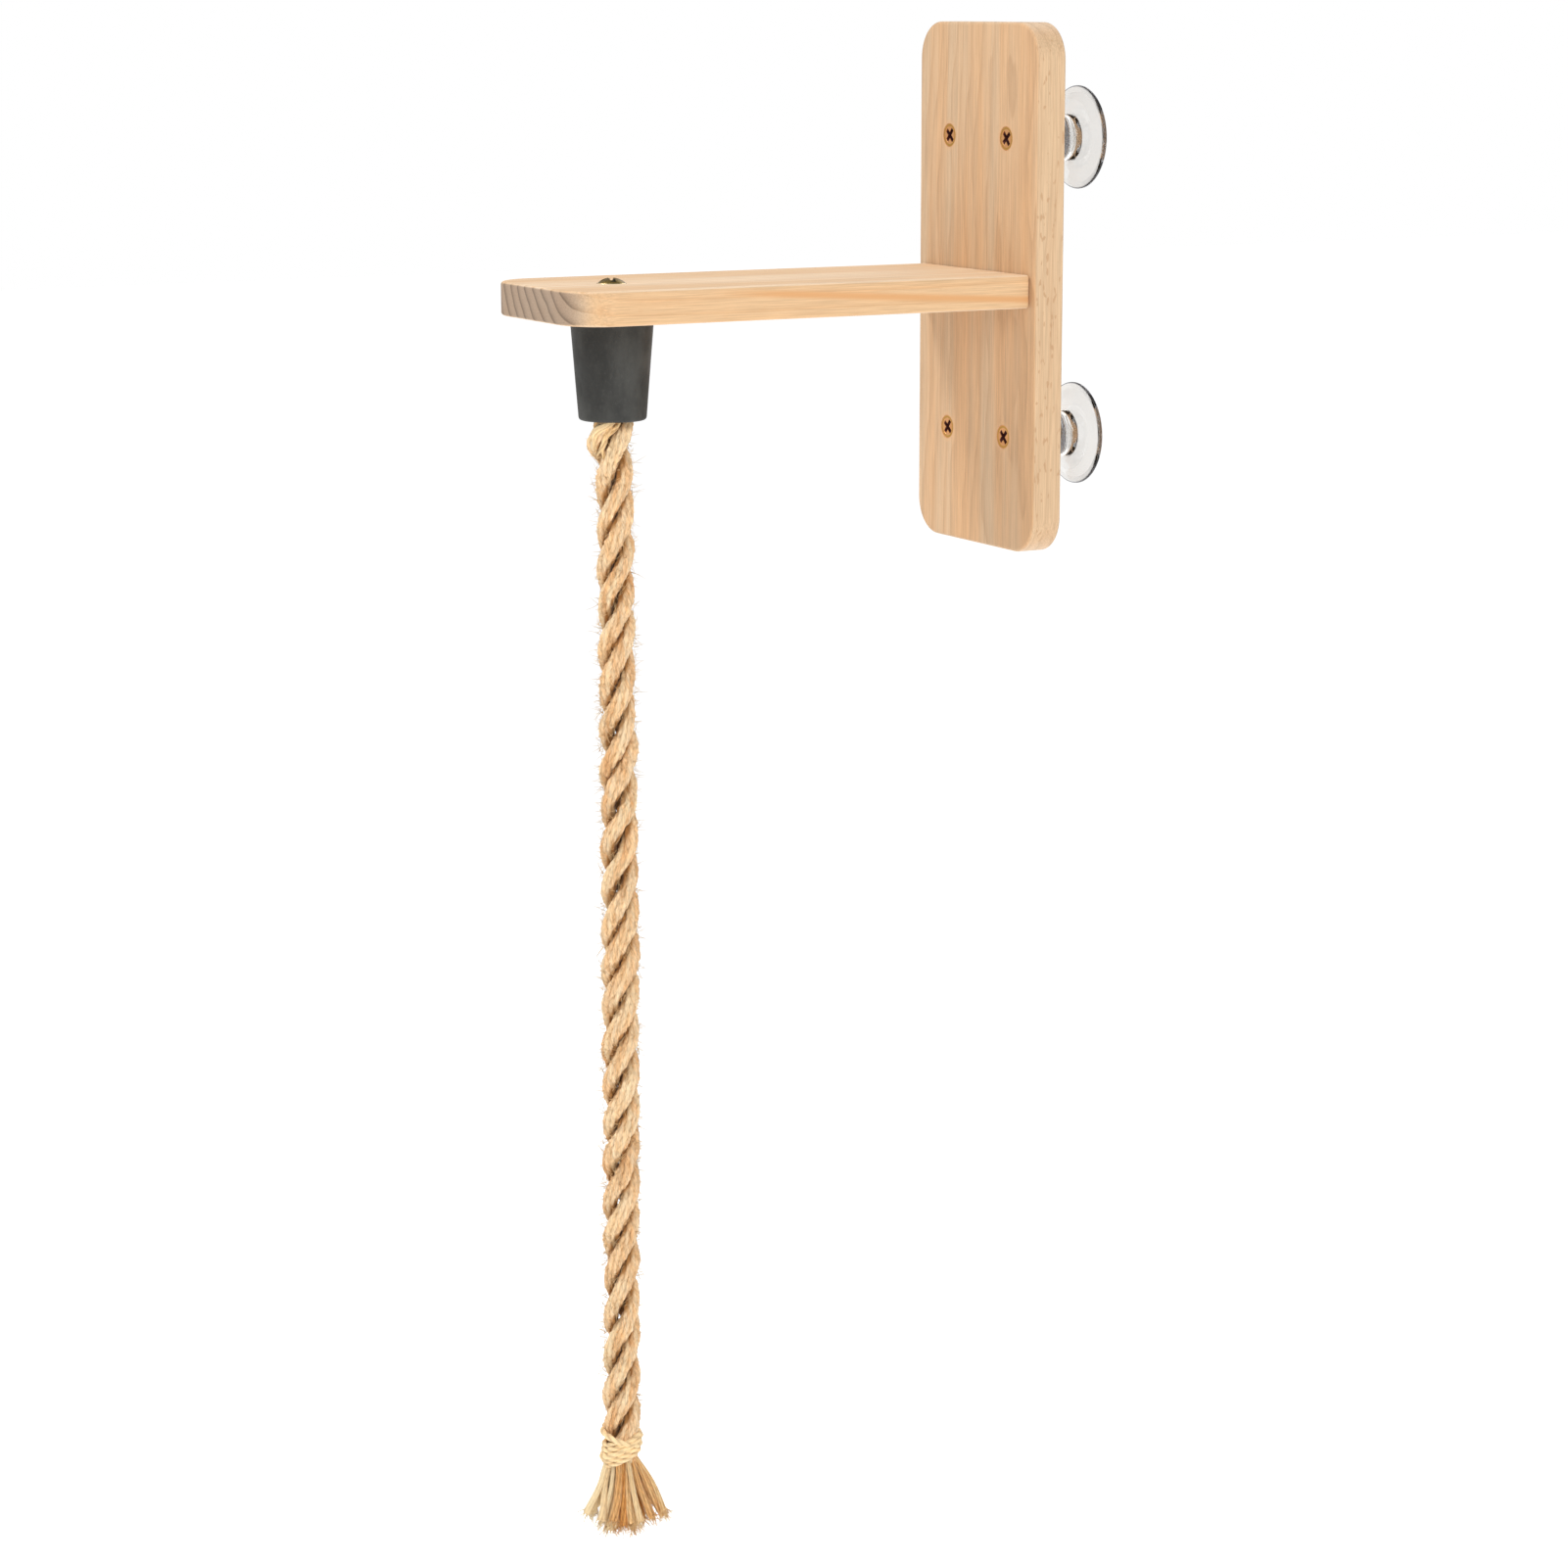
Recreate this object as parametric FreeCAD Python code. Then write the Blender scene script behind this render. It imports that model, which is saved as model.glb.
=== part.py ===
import FreeCAD, Part
import math
import os

# Window-mounted climbing perch for a small pet: a pine bracket held on glass by four suction
# cups, with a scratching rope that hangs from a rubber socket under the shelf's free end.
# Millimetres. The origin is on the glass, at the centre of the four cups; +Z is up, +Y points
# into the glass, and the shelf reaches out towards -Y.

Vector = FreeCAD.Vector
UP = Vector(0, 0, 1)
DOWN = Vector(0, 0, -1)
TO_GLASS = Vector(0, 1, 0)
FROM_GLASS = Vector(0, -1, 0)
SIDEWAYS = Vector(1, 0, 0)

# ---- driving dimensions: the board and the shelf ----
board_width = 110.0
board_height = 256.0
board_thickness = 16.0
board_corner = 18.0
board_rounding = 1.6

shelf_length = 242.0
shelf_thickness = 16.0
shelf_inset = 5.0            # the shelf is this much narrower than the board, each side
shelf_corner = 22.0
shelf_rounding = 1.6
shelf_end_chamfer = 1.2      # broken edge of the end that butts on the board

# ---- driving dimensions: suction cups, their studs and the nuts on the front ----
cup_diameter = 50.0
cup_gap = 3.0                # between the rims of two cups side by side
cup_rise = 72.5              # from the origin up, or down, to a cup's axis
cup_standoff = 26.0          # from the glass to the back of the board
cup_cavity = 3.2
cup_rim = 1.2
cup_seal_width = 3.5         # flat band that lies on the glass
cup_step = 0.6               # raised ring round the thick middle of the cup
hub_base_diameter = 22.0
hub_top_diameter = 19.0
hub_root = 7.6               # from the glass to the foot of the hub
hub_edge = 0.8

stud_diameter = 4.0
stud_reach = 11.0            # beyond the plate, towards the front
stud_tip = 0.9
plate_diameter = 11.6
plate_thickness = 1.2
plate_hole_count = 6
plate_hole_diameter = 1.8
plate_hole_circle = 8.9
anchor_head_diameter = 8.0   # moulded-in head of the stud
anchor_head_thickness = 2.0
anchor_head_depth = 8.0      # from the hub's face to the far side of that head

nut_head_diameter = 11.6
nut_head_height = 3.4
nut_head_rim = 0.4
nut_barrel_diameter = 6.0
nut_length = 12.5
nut_bore_start = 4.6         # solid metal left under the cross recess
nut_sink = 0.15              # head below the board's face

# ---- driving dimensions: wood screws that hold the shelf ----
shelf_screw_spacing = 52.0
shelf_screw_diameter = 4.4
shelf_screw_length = 45.0
shelf_screw_head = 8.6
shelf_screw_head_height = 2.8
shelf_screw_tip = 6.0

# ---- driving dimensions: rope screw, anchor and rubber socket ----
rope_setback = 42.0          # rope's axis behind the shelf's free end
rope_screw_head = 14.0
rope_screw_head_height = 4.2
rope_screw_crown = 3.0       # rise of the raised head over its rim
rope_screw_diameter = 6.0
rope_screw_sink = 0.3
anchor_barrel_diameter = 10.0
anchor_barrel_length = 20.0
anchor_flange_thickness = 1.5
anchor_flange_inset = 0.5    # flange smaller than the rope, at its radius
socket_height = 48.0
socket_floor = 6.0
socket_mouth_wall = 7.0
socket_taper = 3.8           # radius gained from mouth to top
socket_rounding = 1.3

# ---- driving dimensions: rope, whipping and tassel ----
rope_diameter = 18.0
whipping_length = 18.0
whipping_diameter = 20.0
whipping_rounding = 2.0
tassel_length = 36.0
tassel_neck_diameter = 17.0
tassel_width = 40.0
tassel_tip_diameter = 18.0

# Rope route below its swing pivot, chosen by hand: sideways, towards the glass, and down from
# the socket's mouth.
rope_route_from_mouth = [
    (1.9, 0.5, 126.0),
    (3.0, 0.4, 257.0),
    (2.9, -0.1, 383.0),
    (1.6, -0.45, 499.0),
]

# ---- cross recesses: width across the arms, arm, depth, and turn as each was tightened ----
nut_recess = (8.2, 2.2, 3.0)
nut_recess_turns = {"upper_left": 42.0, "upper_right": 50.0,
                    "lower_left": 38.0, "lower_right": 47.0}
shelf_screw_recess = (5.0, 1.2, 2.2)
rope_screw_recess = (14.0, 2.6, 5.0)
rope_screw_recess_turn = 16.0
recess_floor_share = 0.35    # width at a recess's floor, as a share of its width at the face

# ---- clearances ----
wood_clearance = 0.05        # round fasteners that stay still in the wood
thread_clearance = 0.02      # stud in nut and screw in anchor
turning_clearance = 0.1      # round the pieces that turn with the socket
swing_clearance = 0.3        # between the socket's mouth and the swinging rope
held_rope_clearance = 0.05   # held rope in its socket
overrun = 1.0                # a cutting tool starts this far outside the face it cuts

# ---- places worked out from the values above ----
board_back = -cup_standoff
board_front = board_back - board_thickness
shelf_end = board_front - shelf_length
shelf_top = shelf_thickness / 2
shelf_bottom = -shelf_thickness / 2
shelf_width = board_width - 2 * shelf_inset
rope_y = shelf_end + rope_setback
cup_offset = (cup_diameter + cup_gap) / 2
rope_radius = rope_diameter / 2
socket_top = shelf_bottom - turning_clearance
socket_mouth = socket_top - socket_height
socket_bore_radius = rope_radius + held_rope_clearance
socket_mouth_radius = socket_bore_radius + socket_mouth_wall
socket_top_radius = socket_mouth_radius + socket_taper
anchor_top = socket_top - socket_floor
anchor_flange_radius = rope_radius - anchor_flange_inset
rope_screw_length = (shelf_thickness - rope_screw_sink + turning_clearance + socket_floor
                     + anchor_barrel_length - overrun)


def turned(base, axis, start, steps):
    """Solid of revolution. Points are (radius, distance along axis); a step is a point, or a
    pair (through, end) for an arc."""
    radial = (SIDEWAYS - axis * SIDEWAYS.dot(axis)).normalize()

    def place(point):
        return base + radial * point[0] + axis * point[1]

    edges = []
    here = start
    for step in steps + [start]:
        if isinstance(step[0], tuple):
            through, end = step
            curve = Part.Arc(place(here), place(through), place(end))
        else:
            end = step
            curve = Part.LineSegment(place(here), place(end))
        edges.append(curve.toShape())
        here = end
    return outward(Part.Face(Part.Wire(edges)).revolve(base, axis, 360))


def outward(solid):
    """The same solid with its faces pointing out."""
    if solid.Volume < 0:
        solid.reverse()
    return solid


def cylinder(diameter, start, axis, length):
    """Plain cylinder from a point along an axis."""
    return Part.makeCylinder(diameter / 2, length, start, axis)


def cross_recess(face, inward, size, turn):
    """Tapered cross-shaped cutter that enters a screw head at its face."""
    width, arm, depth = size
    length = depth + overrun
    flare = overrun * (1 - recess_floor_share) * width / 2 / depth
    arms = Part.makeBox(2 * width, arm, length, Vector(-width, -arm / 2, -overrun))
    other = Part.makeBox(arm, 2 * width, length, Vector(-arm / 2, -width, -overrun))
    taper = Part.makeCone(width / 2 + flare, width / 2 * recess_floor_share, length,
                          Vector(0, 0, -overrun), UP)
    cutter = arms.fuse(other).common(taper)
    cutter.rotate(Vector(0, 0, 0), UP, turn)
    cutter.Placement = FreeCAD.Placement(face, FreeCAD.Rotation(UP, inward)).multiply(
        cutter.Placement)
    return cutter


def countersunk(face, inward, head, head_height, rim, shank, length, tip):
    """Countersunk screw or nut blank: flat head, cone, shank, and a point when tip is over 0."""
    steps = [(head / 2, 0), (head / 2, rim), (shank / 2, head_height)]
    if tip:
        steps += [(shank / 2, length - tip), (0, length)]
    else:
        steps += [(shank / 2, length), (0, length)]
    return turned(face, inward, (0, 0), steps)


def countersink(face, inward, head, head_height, rim, shank, length, gap):
    """Cutter for the seat of a countersunk head and its hole, a gap larger all round."""
    steps = [(head / 2 + gap, -overrun), (head / 2 + gap, rim),
             (shank / 2 + gap, head_height + gap), (shank / 2 + gap, length), (0, length)]
    return turned(face, inward, (0, -overrun), steps)


def rounded_plate(corners, thickness, direction):
    """Plate with the outline given as (point, corner radius) in order, extruded."""
    edges = []
    count = len(corners)
    ends = []
    for index in range(count):
        point, radius = corners[index]
        before = (corners[index - 1][0] - point).normalize()
        after = (corners[(index + 1) % count][0] - point).normalize()
        ends.append((point + before * radius, point, point + after * radius, radius, before, after))
    for index in range(count):
        enter, point, leave, radius, before, after = ends[index]
        if radius > 0:
            middle = point + (before + after) * (radius * (1 - math.sqrt(0.5)))
            edges.append(Part.Arc(enter, middle, leave).toShape())
        next_enter = ends[(index + 1) % count][0]
        edges.append(Part.LineSegment(leave, next_enter).toShape())
    return outward(Part.Face(Part.Wire(edges)).extrude(direction * thickness))


def edges_on_plane(solid, normal, distance):
    """Edges that lie wholly on the plane at that distance along its normal."""
    found = []
    for edge in solid.Edges:
        places = [vertex.Point.dot(normal) for vertex in edge.Vertexes]
        middle = edge.valueAt((edge.FirstParameter + edge.LastParameter) / 2)
        places.append(middle.dot(normal))
        if all(abs(place - distance) < 1e-4 for place in places):
            found.append(edge)
    return found


def cup_centres():
    """The four cup axes by name, as points on the glass."""
    centres = {}
    for row, z in (("upper", cup_rise), ("lower", -cup_rise)):
        for side, x in (("left", -cup_offset), ("right", cup_offset)):
            centres[row + "_" + side] = Vector(x, 0, z)
    return centres


def make_back_board():
    """Upright board with round corners, bored for the cup nuts and the shelf screws."""
    half = board_width / 2
    top = board_height / 2
    outline = [(Vector(x, board_front, z), board_corner)
               for x, z in ((half, top), (-half, top), (-half, -top), (half, -top))]
    board = rounded_plate(outline, board_thickness, TO_GLASS)
    rims = (edges_on_plane(board, TO_GLASS, board_front)
            + edges_on_plane(board, TO_GLASS, board_back))
    board = board.makeFillet(board_rounding, rims)
    for centre in cup_centres().values():
        face = Vector(centre.x, board_front + nut_sink, centre.z)
        board = board.cut(countersink(face, TO_GLASS, nut_head_diameter, nut_head_height,
                                      nut_head_rim, nut_barrel_diameter,
                                      board_thickness + overrun, wood_clearance))
    for face in shelf_screw_faces():
        board = board.cut(countersink(face, FROM_GLASS, shelf_screw_head,
                                      shelf_screw_head_height, nut_head_rim,
                                      shelf_screw_diameter, board_thickness + overrun,
                                      wood_clearance))
    return board


def shelf_screw_faces():
    """Head centres of the two shelf screws, just under the board's back face."""
    return [Vector(side * shelf_screw_spacing / 2, board_back - nut_sink, 0)
            for side in (-1, 1)]


def make_shelf():
    """Shelf with two round corners at its free end and rounded long edges."""
    half = shelf_width / 2
    outline = [(Vector(half, board_front, shelf_bottom), 0),
               (Vector(half, shelf_end, shelf_bottom), shelf_corner),
               (Vector(-half, shelf_end, shelf_bottom), shelf_corner),
               (Vector(-half, board_front, shelf_bottom), 0)]
    shelf = rounded_plate(outline, shelf_thickness, UP)
    joint_edges = edges_on_plane(shelf, TO_GLASS, board_front)
    faces = edges_on_plane(shelf, UP, shelf_top) + edges_on_plane(shelf, UP, shelf_bottom)
    rims = [edge for edge in faces if not any(edge.isSame(other) for other in joint_edges)]
    shelf = shelf.makeFillet(shelf_rounding, rims)
    shelf = shelf.makeChamfer(shelf_end_chamfer, edges_on_plane(shelf, TO_GLASS, board_front))
    for face in shelf_screw_faces():
        shelf = shelf.cut(make_shelf_screw(face, recess=False))
    rope_seat = Vector(0, rope_y, shelf_top - rope_screw_sink)
    return shelf.cut(countersink(rope_seat, DOWN, rope_screw_head, rope_screw_head_height,
                                 nut_head_rim, rope_screw_diameter,
                                 shelf_thickness + overrun, turning_clearance))


def make_shelf_screw(face, recess=True):
    """Zinc-plated countersunk wood screw from the board's back into the shelf's end grain."""
    screw = countersunk(face, FROM_GLASS, shelf_screw_head, shelf_screw_head_height,
                        nut_head_rim, shelf_screw_diameter, shelf_screw_length,
                        shelf_screw_tip)
    if recess:
        screw = screw.cut(cross_recess(face, FROM_GLASS, shelf_screw_recess, 0))
    return screw


def make_cup_nut(name, centre):
    """Brass-coloured countersunk sleeve nut on the front, which takes a cup's stud."""
    face = Vector(centre.x, board_front + nut_sink, centre.z)
    nut = countersunk(face, TO_GLASS, nut_head_diameter, nut_head_height, nut_head_rim,
                      nut_barrel_diameter, nut_length, 0)
    bore = cylinder(stud_diameter + 2 * thread_clearance, face + TO_GLASS * nut_bore_start,
                    TO_GLASS, nut_length)
    nut = nut.cut(bore)
    return nut.cut(cross_recess(face, TO_GLASS, nut_recess, nut_recess_turns[name]))


def make_cup_stud(centre):
    """Steel plate with six holes and a stud, whose head is moulded into the cup's hub."""
    face = Vector(centre.x, board_back, centre.z)
    stud_radius = stud_diameter / 2
    collar_radius = nut_barrel_diameter / 2
    back = -plate_thickness
    head_near = -anchor_head_depth + anchor_head_thickness
    steps = [(anchor_head_diameter / 2, -anchor_head_depth),
             (anchor_head_diameter / 2, head_near),
             (stud_radius, head_near), (stud_radius, back),
             (plate_diameter / 2, back), (plate_diameter / 2, 0),
             (collar_radius, 0), (collar_radius, plate_thickness),
             (stud_radius, plate_thickness), (stud_radius, stud_reach - stud_tip),
             (stud_radius - stud_tip, stud_reach), (0, stud_reach)]
    stud = turned(face, FROM_GLASS, (0, -anchor_head_depth), steps)
    for index in range(plate_hole_count):
        angle = 2 * math.pi * index / plate_hole_count
        offset = Vector(math.sin(angle), 0, math.cos(angle)) * (plate_hole_circle / 2)
        hole = cylinder(plate_hole_diameter, face + offset - FROM_GLASS * (plate_thickness
                        + overrun), FROM_GLASS, plate_thickness + 2 * overrun)
        stud = stud.cut(hole)
    return stud


def make_suction_cup(centre, stud):
    """Clear cup: flat sealing band, shallow cavity, stepped dome and a tall hub."""
    rim_radius = cup_diameter / 2
    seal_radius = rim_radius - cup_seal_width
    step_radius = rim_radius * 0.73
    step_height = (hub_root + cup_rim) / 2 - cup_step
    ball = (seal_radius ** 2 + cup_cavity ** 2) / (2 * cup_cavity)
    half_angle = math.asin(seal_radius / ball) / 2
    cavity_middle = (ball * math.sin(half_angle), cup_cavity - ball * (1 - math.cos(half_angle)))
    hub_top = hub_top_diameter / 2
    soft = cup_rim / 2
    steps = [(hub_top - hub_edge, cup_standoff), (hub_top, cup_standoff - hub_edge),
             (hub_base_diameter / 2, hub_root),
             (step_radius - cup_step, step_height + cup_step),
             (step_radius, step_height),
             (rim_radius - soft / 2, cup_rim),
             ((rim_radius, soft), (rim_radius - soft / 2, 0)),
             (seal_radius, 0),
             (cavity_middle, (0, cup_cavity))]
    cup = turned(centre, FROM_GLASS, (0, cup_standoff), steps)
    return cup.cut(stud)


def make_rope_screw():
    """Brass-coloured screw down through the shelf, socket and anchor: its countersunk head is
    raised to a spherical crown."""
    face = Vector(0, rope_y, shelf_top - rope_screw_sink)
    head = rope_screw_head / 2
    shank = rope_screw_diameter / 2
    crown_radius = (head ** 2 + rope_screw_crown ** 2) / (2 * rope_screw_crown)
    half_turn = math.asin(head / crown_radius) / 2
    crown_middle = (crown_radius * math.sin(half_turn),
                    crown_radius * (1 - math.cos(half_turn)) - rope_screw_crown)
    steps = [(crown_middle, (head, 0)), (head, nut_head_rim), (shank, rope_screw_head_height),
             (shank, rope_screw_length), (0, rope_screw_length)]
    screw = turned(face, DOWN, (0, -rope_screw_crown), steps)
    return screw.cut(cross_recess(face + UP * rope_screw_crown, DOWN, rope_screw_recess,
                                  rope_screw_recess_turn))


def make_anchor_nut():
    """Flanged threaded insert in the top of the held rope."""
    base = Vector(0, rope_y, anchor_top)
    bore = rope_screw_diameter / 2 + thread_clearance
    barrel = anchor_barrel_diameter / 2
    steps = [(anchor_flange_radius, 0), (anchor_flange_radius, anchor_flange_thickness),
             (barrel, anchor_flange_thickness), (barrel, anchor_barrel_length),
             (bore, anchor_barrel_length)]
    return turned(base, DOWN, (bore, 0), steps)


def make_rubber_socket():
    """Tapered rubber cup: floor against the shelf, mouth down, all outer edges rounded."""
    base = Vector(0, rope_y, socket_top)
    screw_hole = rope_screw_diameter / 2 + thread_clearance
    cut_back = socket_rounding * (1 - math.sqrt(0.5))
    steps = [(socket_top_radius - socket_rounding, 0),
             ((socket_top_radius - cut_back, cut_back), (socket_top_radius, socket_rounding)),
             (socket_mouth_radius, socket_height - socket_rounding),
             ((socket_mouth_radius - cut_back, socket_height - cut_back),
              (socket_mouth_radius - socket_rounding, socket_height)),
             (socket_bore_radius, socket_height),
             (socket_bore_radius, socket_floor), (screw_hole, socket_floor)]
    return turned(base, DOWN, (screw_hole, 0), steps)


def make_rope_held_end(anchor, screw):
    """The rope's end inside the socket, round the anchor's barrel."""
    start = Vector(0, rope_y, anchor_top - anchor_flange_thickness)
    length = start.z - socket_mouth
    held = cylinder(rope_diameter, start, DOWN, length)
    return held.cut(anchor).cut(screw)


def rope_points():
    """Route of the free rope, with its first point at the swing pivot."""
    pivot = Vector(0, rope_y, socket_mouth - rope_radius - swing_clearance)
    return [pivot] + [Vector(x, rope_y + y, socket_mouth - drop)
                      for x, y, drop in rope_route_from_mouth]


def rope_end():
    """Foot of the free rope, and the direction in which it arrives there."""
    points = rope_points()
    return points[-1], (points[-1] - points[-2]).normalize()


def rope_path(points):
    """Straight runs joined by tangent arcs, each arc as large as its two runs allow."""
    edges = []
    here = points[0]
    for index in range(1, len(points) - 1):
        corner = points[index]
        back = points[index - 1] - corner
        ahead = points[index + 1] - corner
        half_turn = (math.pi - back.getAngle(ahead)) / 2
        reach = 0.45 * min(back.Length, ahead.Length)
        radius = reach / math.tan(half_turn)
        back.normalize()
        ahead.normalize()
        enter = corner + back * reach
        leave = corner + ahead * reach
        inward = (back + ahead).normalize()
        centre = corner + inward * math.hypot(radius, reach)
        middle = centre - inward * radius
        print("rope arc radius %.0f mm" % radius)
        edges.append(Part.LineSegment(here, enter).toShape())
        edges.append(Part.Arc(enter, middle, leave).toShape())
        here = leave
    edges.append(Part.LineSegment(here, points[-1]).toShape())
    return Part.Wire(edges)


def make_rope():
    """Free rope: a tube along its route, with a round top that swings under the mouth."""
    points = rope_points()
    path = rope_path(points)
    along = (points[1] - points[0]).normalize()
    ring = Part.Wire(Part.makeCircle(rope_radius, points[0], along))
    tube = outward(path.makePipeShell([ring], True, False))
    section = math.pi * rope_radius ** 2
    print("rope length %.1f mm, tube volume / section x length %.4f"
          % (path.Length, tube.Volume / (section * path.Length)))
    return tube.fuse(Part.makeSphere(rope_radius, points[0]))


def make_whipping():
    """Bound stretch of strand ends at the foot of the rope."""
    radius = whipping_diameter / 2
    steps = [(radius - whipping_rounding, 0), (radius, whipping_rounding),
             (radius, whipping_length - whipping_rounding),
             (radius - whipping_rounding, whipping_length), (0, whipping_length)]
    foot, along = rope_end()
    return turned(foot, along, (0, 0), steps)


def make_tassel():
    """Flared yarn ends below the whipping, as one closed shape."""
    foot, along = rope_end()
    neck = tassel_neck_diameter / 2
    wide = tassel_width / 2
    tip = tassel_tip_diameter / 2
    steps = [(neck, 0), ((0.5 * (neck + wide) + 1.0, 0.22 * tassel_length),
                         (wide, 0.58 * tassel_length)),
             (wide - 1.0, 0.72 * tassel_length), (tip, tassel_length), (0, tassel_length)]
    return turned(foot + along * whipping_length, along, (0, 0), steps)


def build():
    """Every piece by node name."""
    parts = {"back_board": make_back_board(), "shelf": make_shelf()}
    for name, centre in cup_centres().items():
        stud = make_cup_stud(centre)
        parts["cup_stud_" + name] = stud
        parts["suction_cup_" + name] = make_suction_cup(centre, stud)
        parts["cup_nut_" + name] = make_cup_nut(name, centre)
    for side, face in zip(("left", "right"), shelf_screw_faces()):
        parts["shelf_screw_" + side] = make_shelf_screw(face)
    anchor = make_anchor_nut()
    screw = make_rope_screw()
    parts["rope_screw"] = screw
    parts["anchor_nut"] = anchor
    parts["rubber_socket"] = make_rubber_socket()
    parts["rope_held_end"] = make_rope_held_end(anchor, screw)
    parts["rope"] = make_rope()
    parts["rope_whipping"] = make_whipping()
    parts["rope_tassel"] = make_tassel()
    return parts


os.makedirs("parts", exist_ok=True)
for node, shape in build().items():
    if not shape.isValid() or shape.Volume <= 0 or len(shape.Solids) != 1:
        raise ValueError("%s is not one sound solid" % node)
    shape.exportStep("parts/" + node + ".step")
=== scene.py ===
import math

import bpy
import numpy as np
from bpy.props import FloatProperty, FloatVectorProperty, IntProperty, PointerProperty
from bpy.types import Operator, Panel, PropertyGroup
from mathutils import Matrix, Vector


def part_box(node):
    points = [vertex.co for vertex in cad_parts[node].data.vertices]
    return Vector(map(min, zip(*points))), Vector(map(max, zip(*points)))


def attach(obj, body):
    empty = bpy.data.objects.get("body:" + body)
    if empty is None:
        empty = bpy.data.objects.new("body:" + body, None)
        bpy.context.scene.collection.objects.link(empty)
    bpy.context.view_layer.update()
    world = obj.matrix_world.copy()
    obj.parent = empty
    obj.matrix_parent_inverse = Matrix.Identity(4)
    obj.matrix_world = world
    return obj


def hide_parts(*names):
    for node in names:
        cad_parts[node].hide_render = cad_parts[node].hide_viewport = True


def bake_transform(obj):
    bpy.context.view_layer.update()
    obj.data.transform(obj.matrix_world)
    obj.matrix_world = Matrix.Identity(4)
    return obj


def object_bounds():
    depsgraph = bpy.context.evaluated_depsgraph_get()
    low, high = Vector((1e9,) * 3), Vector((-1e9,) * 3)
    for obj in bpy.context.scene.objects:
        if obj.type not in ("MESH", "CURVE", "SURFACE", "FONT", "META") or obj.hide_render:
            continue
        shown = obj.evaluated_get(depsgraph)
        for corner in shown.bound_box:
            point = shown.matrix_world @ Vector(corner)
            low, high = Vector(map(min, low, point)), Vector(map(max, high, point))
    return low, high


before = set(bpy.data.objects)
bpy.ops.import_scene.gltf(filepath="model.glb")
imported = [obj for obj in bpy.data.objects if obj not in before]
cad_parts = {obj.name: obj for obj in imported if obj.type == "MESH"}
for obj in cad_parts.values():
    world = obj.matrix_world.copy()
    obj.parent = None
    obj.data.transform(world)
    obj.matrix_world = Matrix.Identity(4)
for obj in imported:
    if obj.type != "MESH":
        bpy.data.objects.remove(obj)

bl_info = {
    "name": "Window Climbing Perch",
    "version": (1, 0, 0),
    "blender": (4, 5, 0),
    "location": "3D View > Sidebar > Perch",
    "description": "Builds a window climbing perch with a laid jute rope round its packed frame",
    "category": "Object",
}

MM = 0.001
ALL_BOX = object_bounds()

# Places read from the frame, in metres.
SOCKET_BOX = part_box("rubber_socket")
TASSEL_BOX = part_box("rope_tassel")
BOARD_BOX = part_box("back_board")
ROPE_Y = (SOCKET_BOX[0].y + SOCKET_BOX[1].y) / 2
MOUTH = Vector((0, ROPE_Y, SOCKET_BOX[0].z))
CUP_NAMES = ("upper_left", "upper_right", "lower_left", "lower_right")

# Route of the free rope below the socket's mouth: sideways, towards the glass, down.
ROPE_ROUTE = (
    (0.0000, 0.0000, 0.0093),
    (0.0019, 0.0005, 0.1260),
    (0.0030, 0.0004, 0.2570),
    (0.0029, -0.0001, 0.3830),
    (0.0016, -0.00045, 0.4990),
)
ROPE_INSIDE = 0.010             # the strands start this far up inside the socket
WHIPPING_LENGTH = 0.018
YARN_SHARE = 0.27               # a yarn's radius as a share of its strand's
TASSEL_LENGTH = 0.0345          # at the tassel's middle
TASSEL_TOP_RADIUS = 0.0066
TASSEL_SPREAD = 0.0130          # how much wider the outer bunches are at their ends
FIBRES_PER_BUNCH = 15
SET_OUT = math.radians(118.6)   # level direction that the lay and the binding are set out from
SET_OUT_DROP = 0.013            # the first strand lies there this far below the mouth
BOUND_DROP = 0.497              # here the whipping starts to draw the strands in
BOUND_OVER = 0.006
SHADED_SIDE_OF_TASSEL = np.array([0.479, 0.878, 0.0])   # the tassel is painted browner on this side, which is the side in painted shade
X_AXIS = np.array([1.0, 0.0, 0.0])
PROFILE_STEP = 0.0016           # longest side of a turned profile
NO_TRIANGLES = np.zeros((0, 3), int)


def length(name, description, default):
    """Property that is a length in metres."""
    return FloatProperty(name=name, description=description, default=default, unit="LENGTH")


def tint(name, description, default):
    """Property that is a colour."""
    return FloatVectorProperty(name=name, description=description, default=default,
                               subtype="COLOR", size=3)


class PerchSizes(PropertyGroup):
    """Sizes that a maker would change."""
    lay_length: length("Lay length", "Height of one full turn of a strand round the rope", 0.0586)
    strand_radius: length(
        "Strand radius", "Radius of one of the three strands, over its yarns", 0.00408)
    strand_centre: length(
        "Strand centre", "Distance of a strand's centre from the rope's axis", 0.0051)
    yarn_count: IntProperty(
        name="Yarns", description="Yarns that show round one strand", default=8)
    yarn_lean: FloatProperty(
        name="Yarn back-twist", description="Turn of the yarns against the lay, per millimetre",
        default=-0.165)
    hair_count: IntProperty(
        name="Loose fibres", description="Fine fibres that stand off the rope", default=2900)
    tassel_bunches: IntProperty(
        name="Tassel bunches", description="Frayed yarn bunches below the whipping", default=42)
    bunch_radius: length("Bunch radius", "Radius of one yarn bunch of the tassel", 0.0021)
    wrap_radius: length("Wrap radius", "Radius of the yarn that binds the rope's foot", 0.00165)
    cup_segments: IntProperty(
        name="Cup segments", description="Steps round a suction cup", default=128)
    ambient: FloatProperty(
        name="Ambient light", description="Strength of the light from all round", default=0.58)
    key_power: FloatProperty(
        name="Key light", description="Power of the key light, upper left, in watts",
        default=23.0)
    front_power: FloatProperty(
        name="Front light", description="Power of the broad front light in watts",
        default=25.0)


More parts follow.
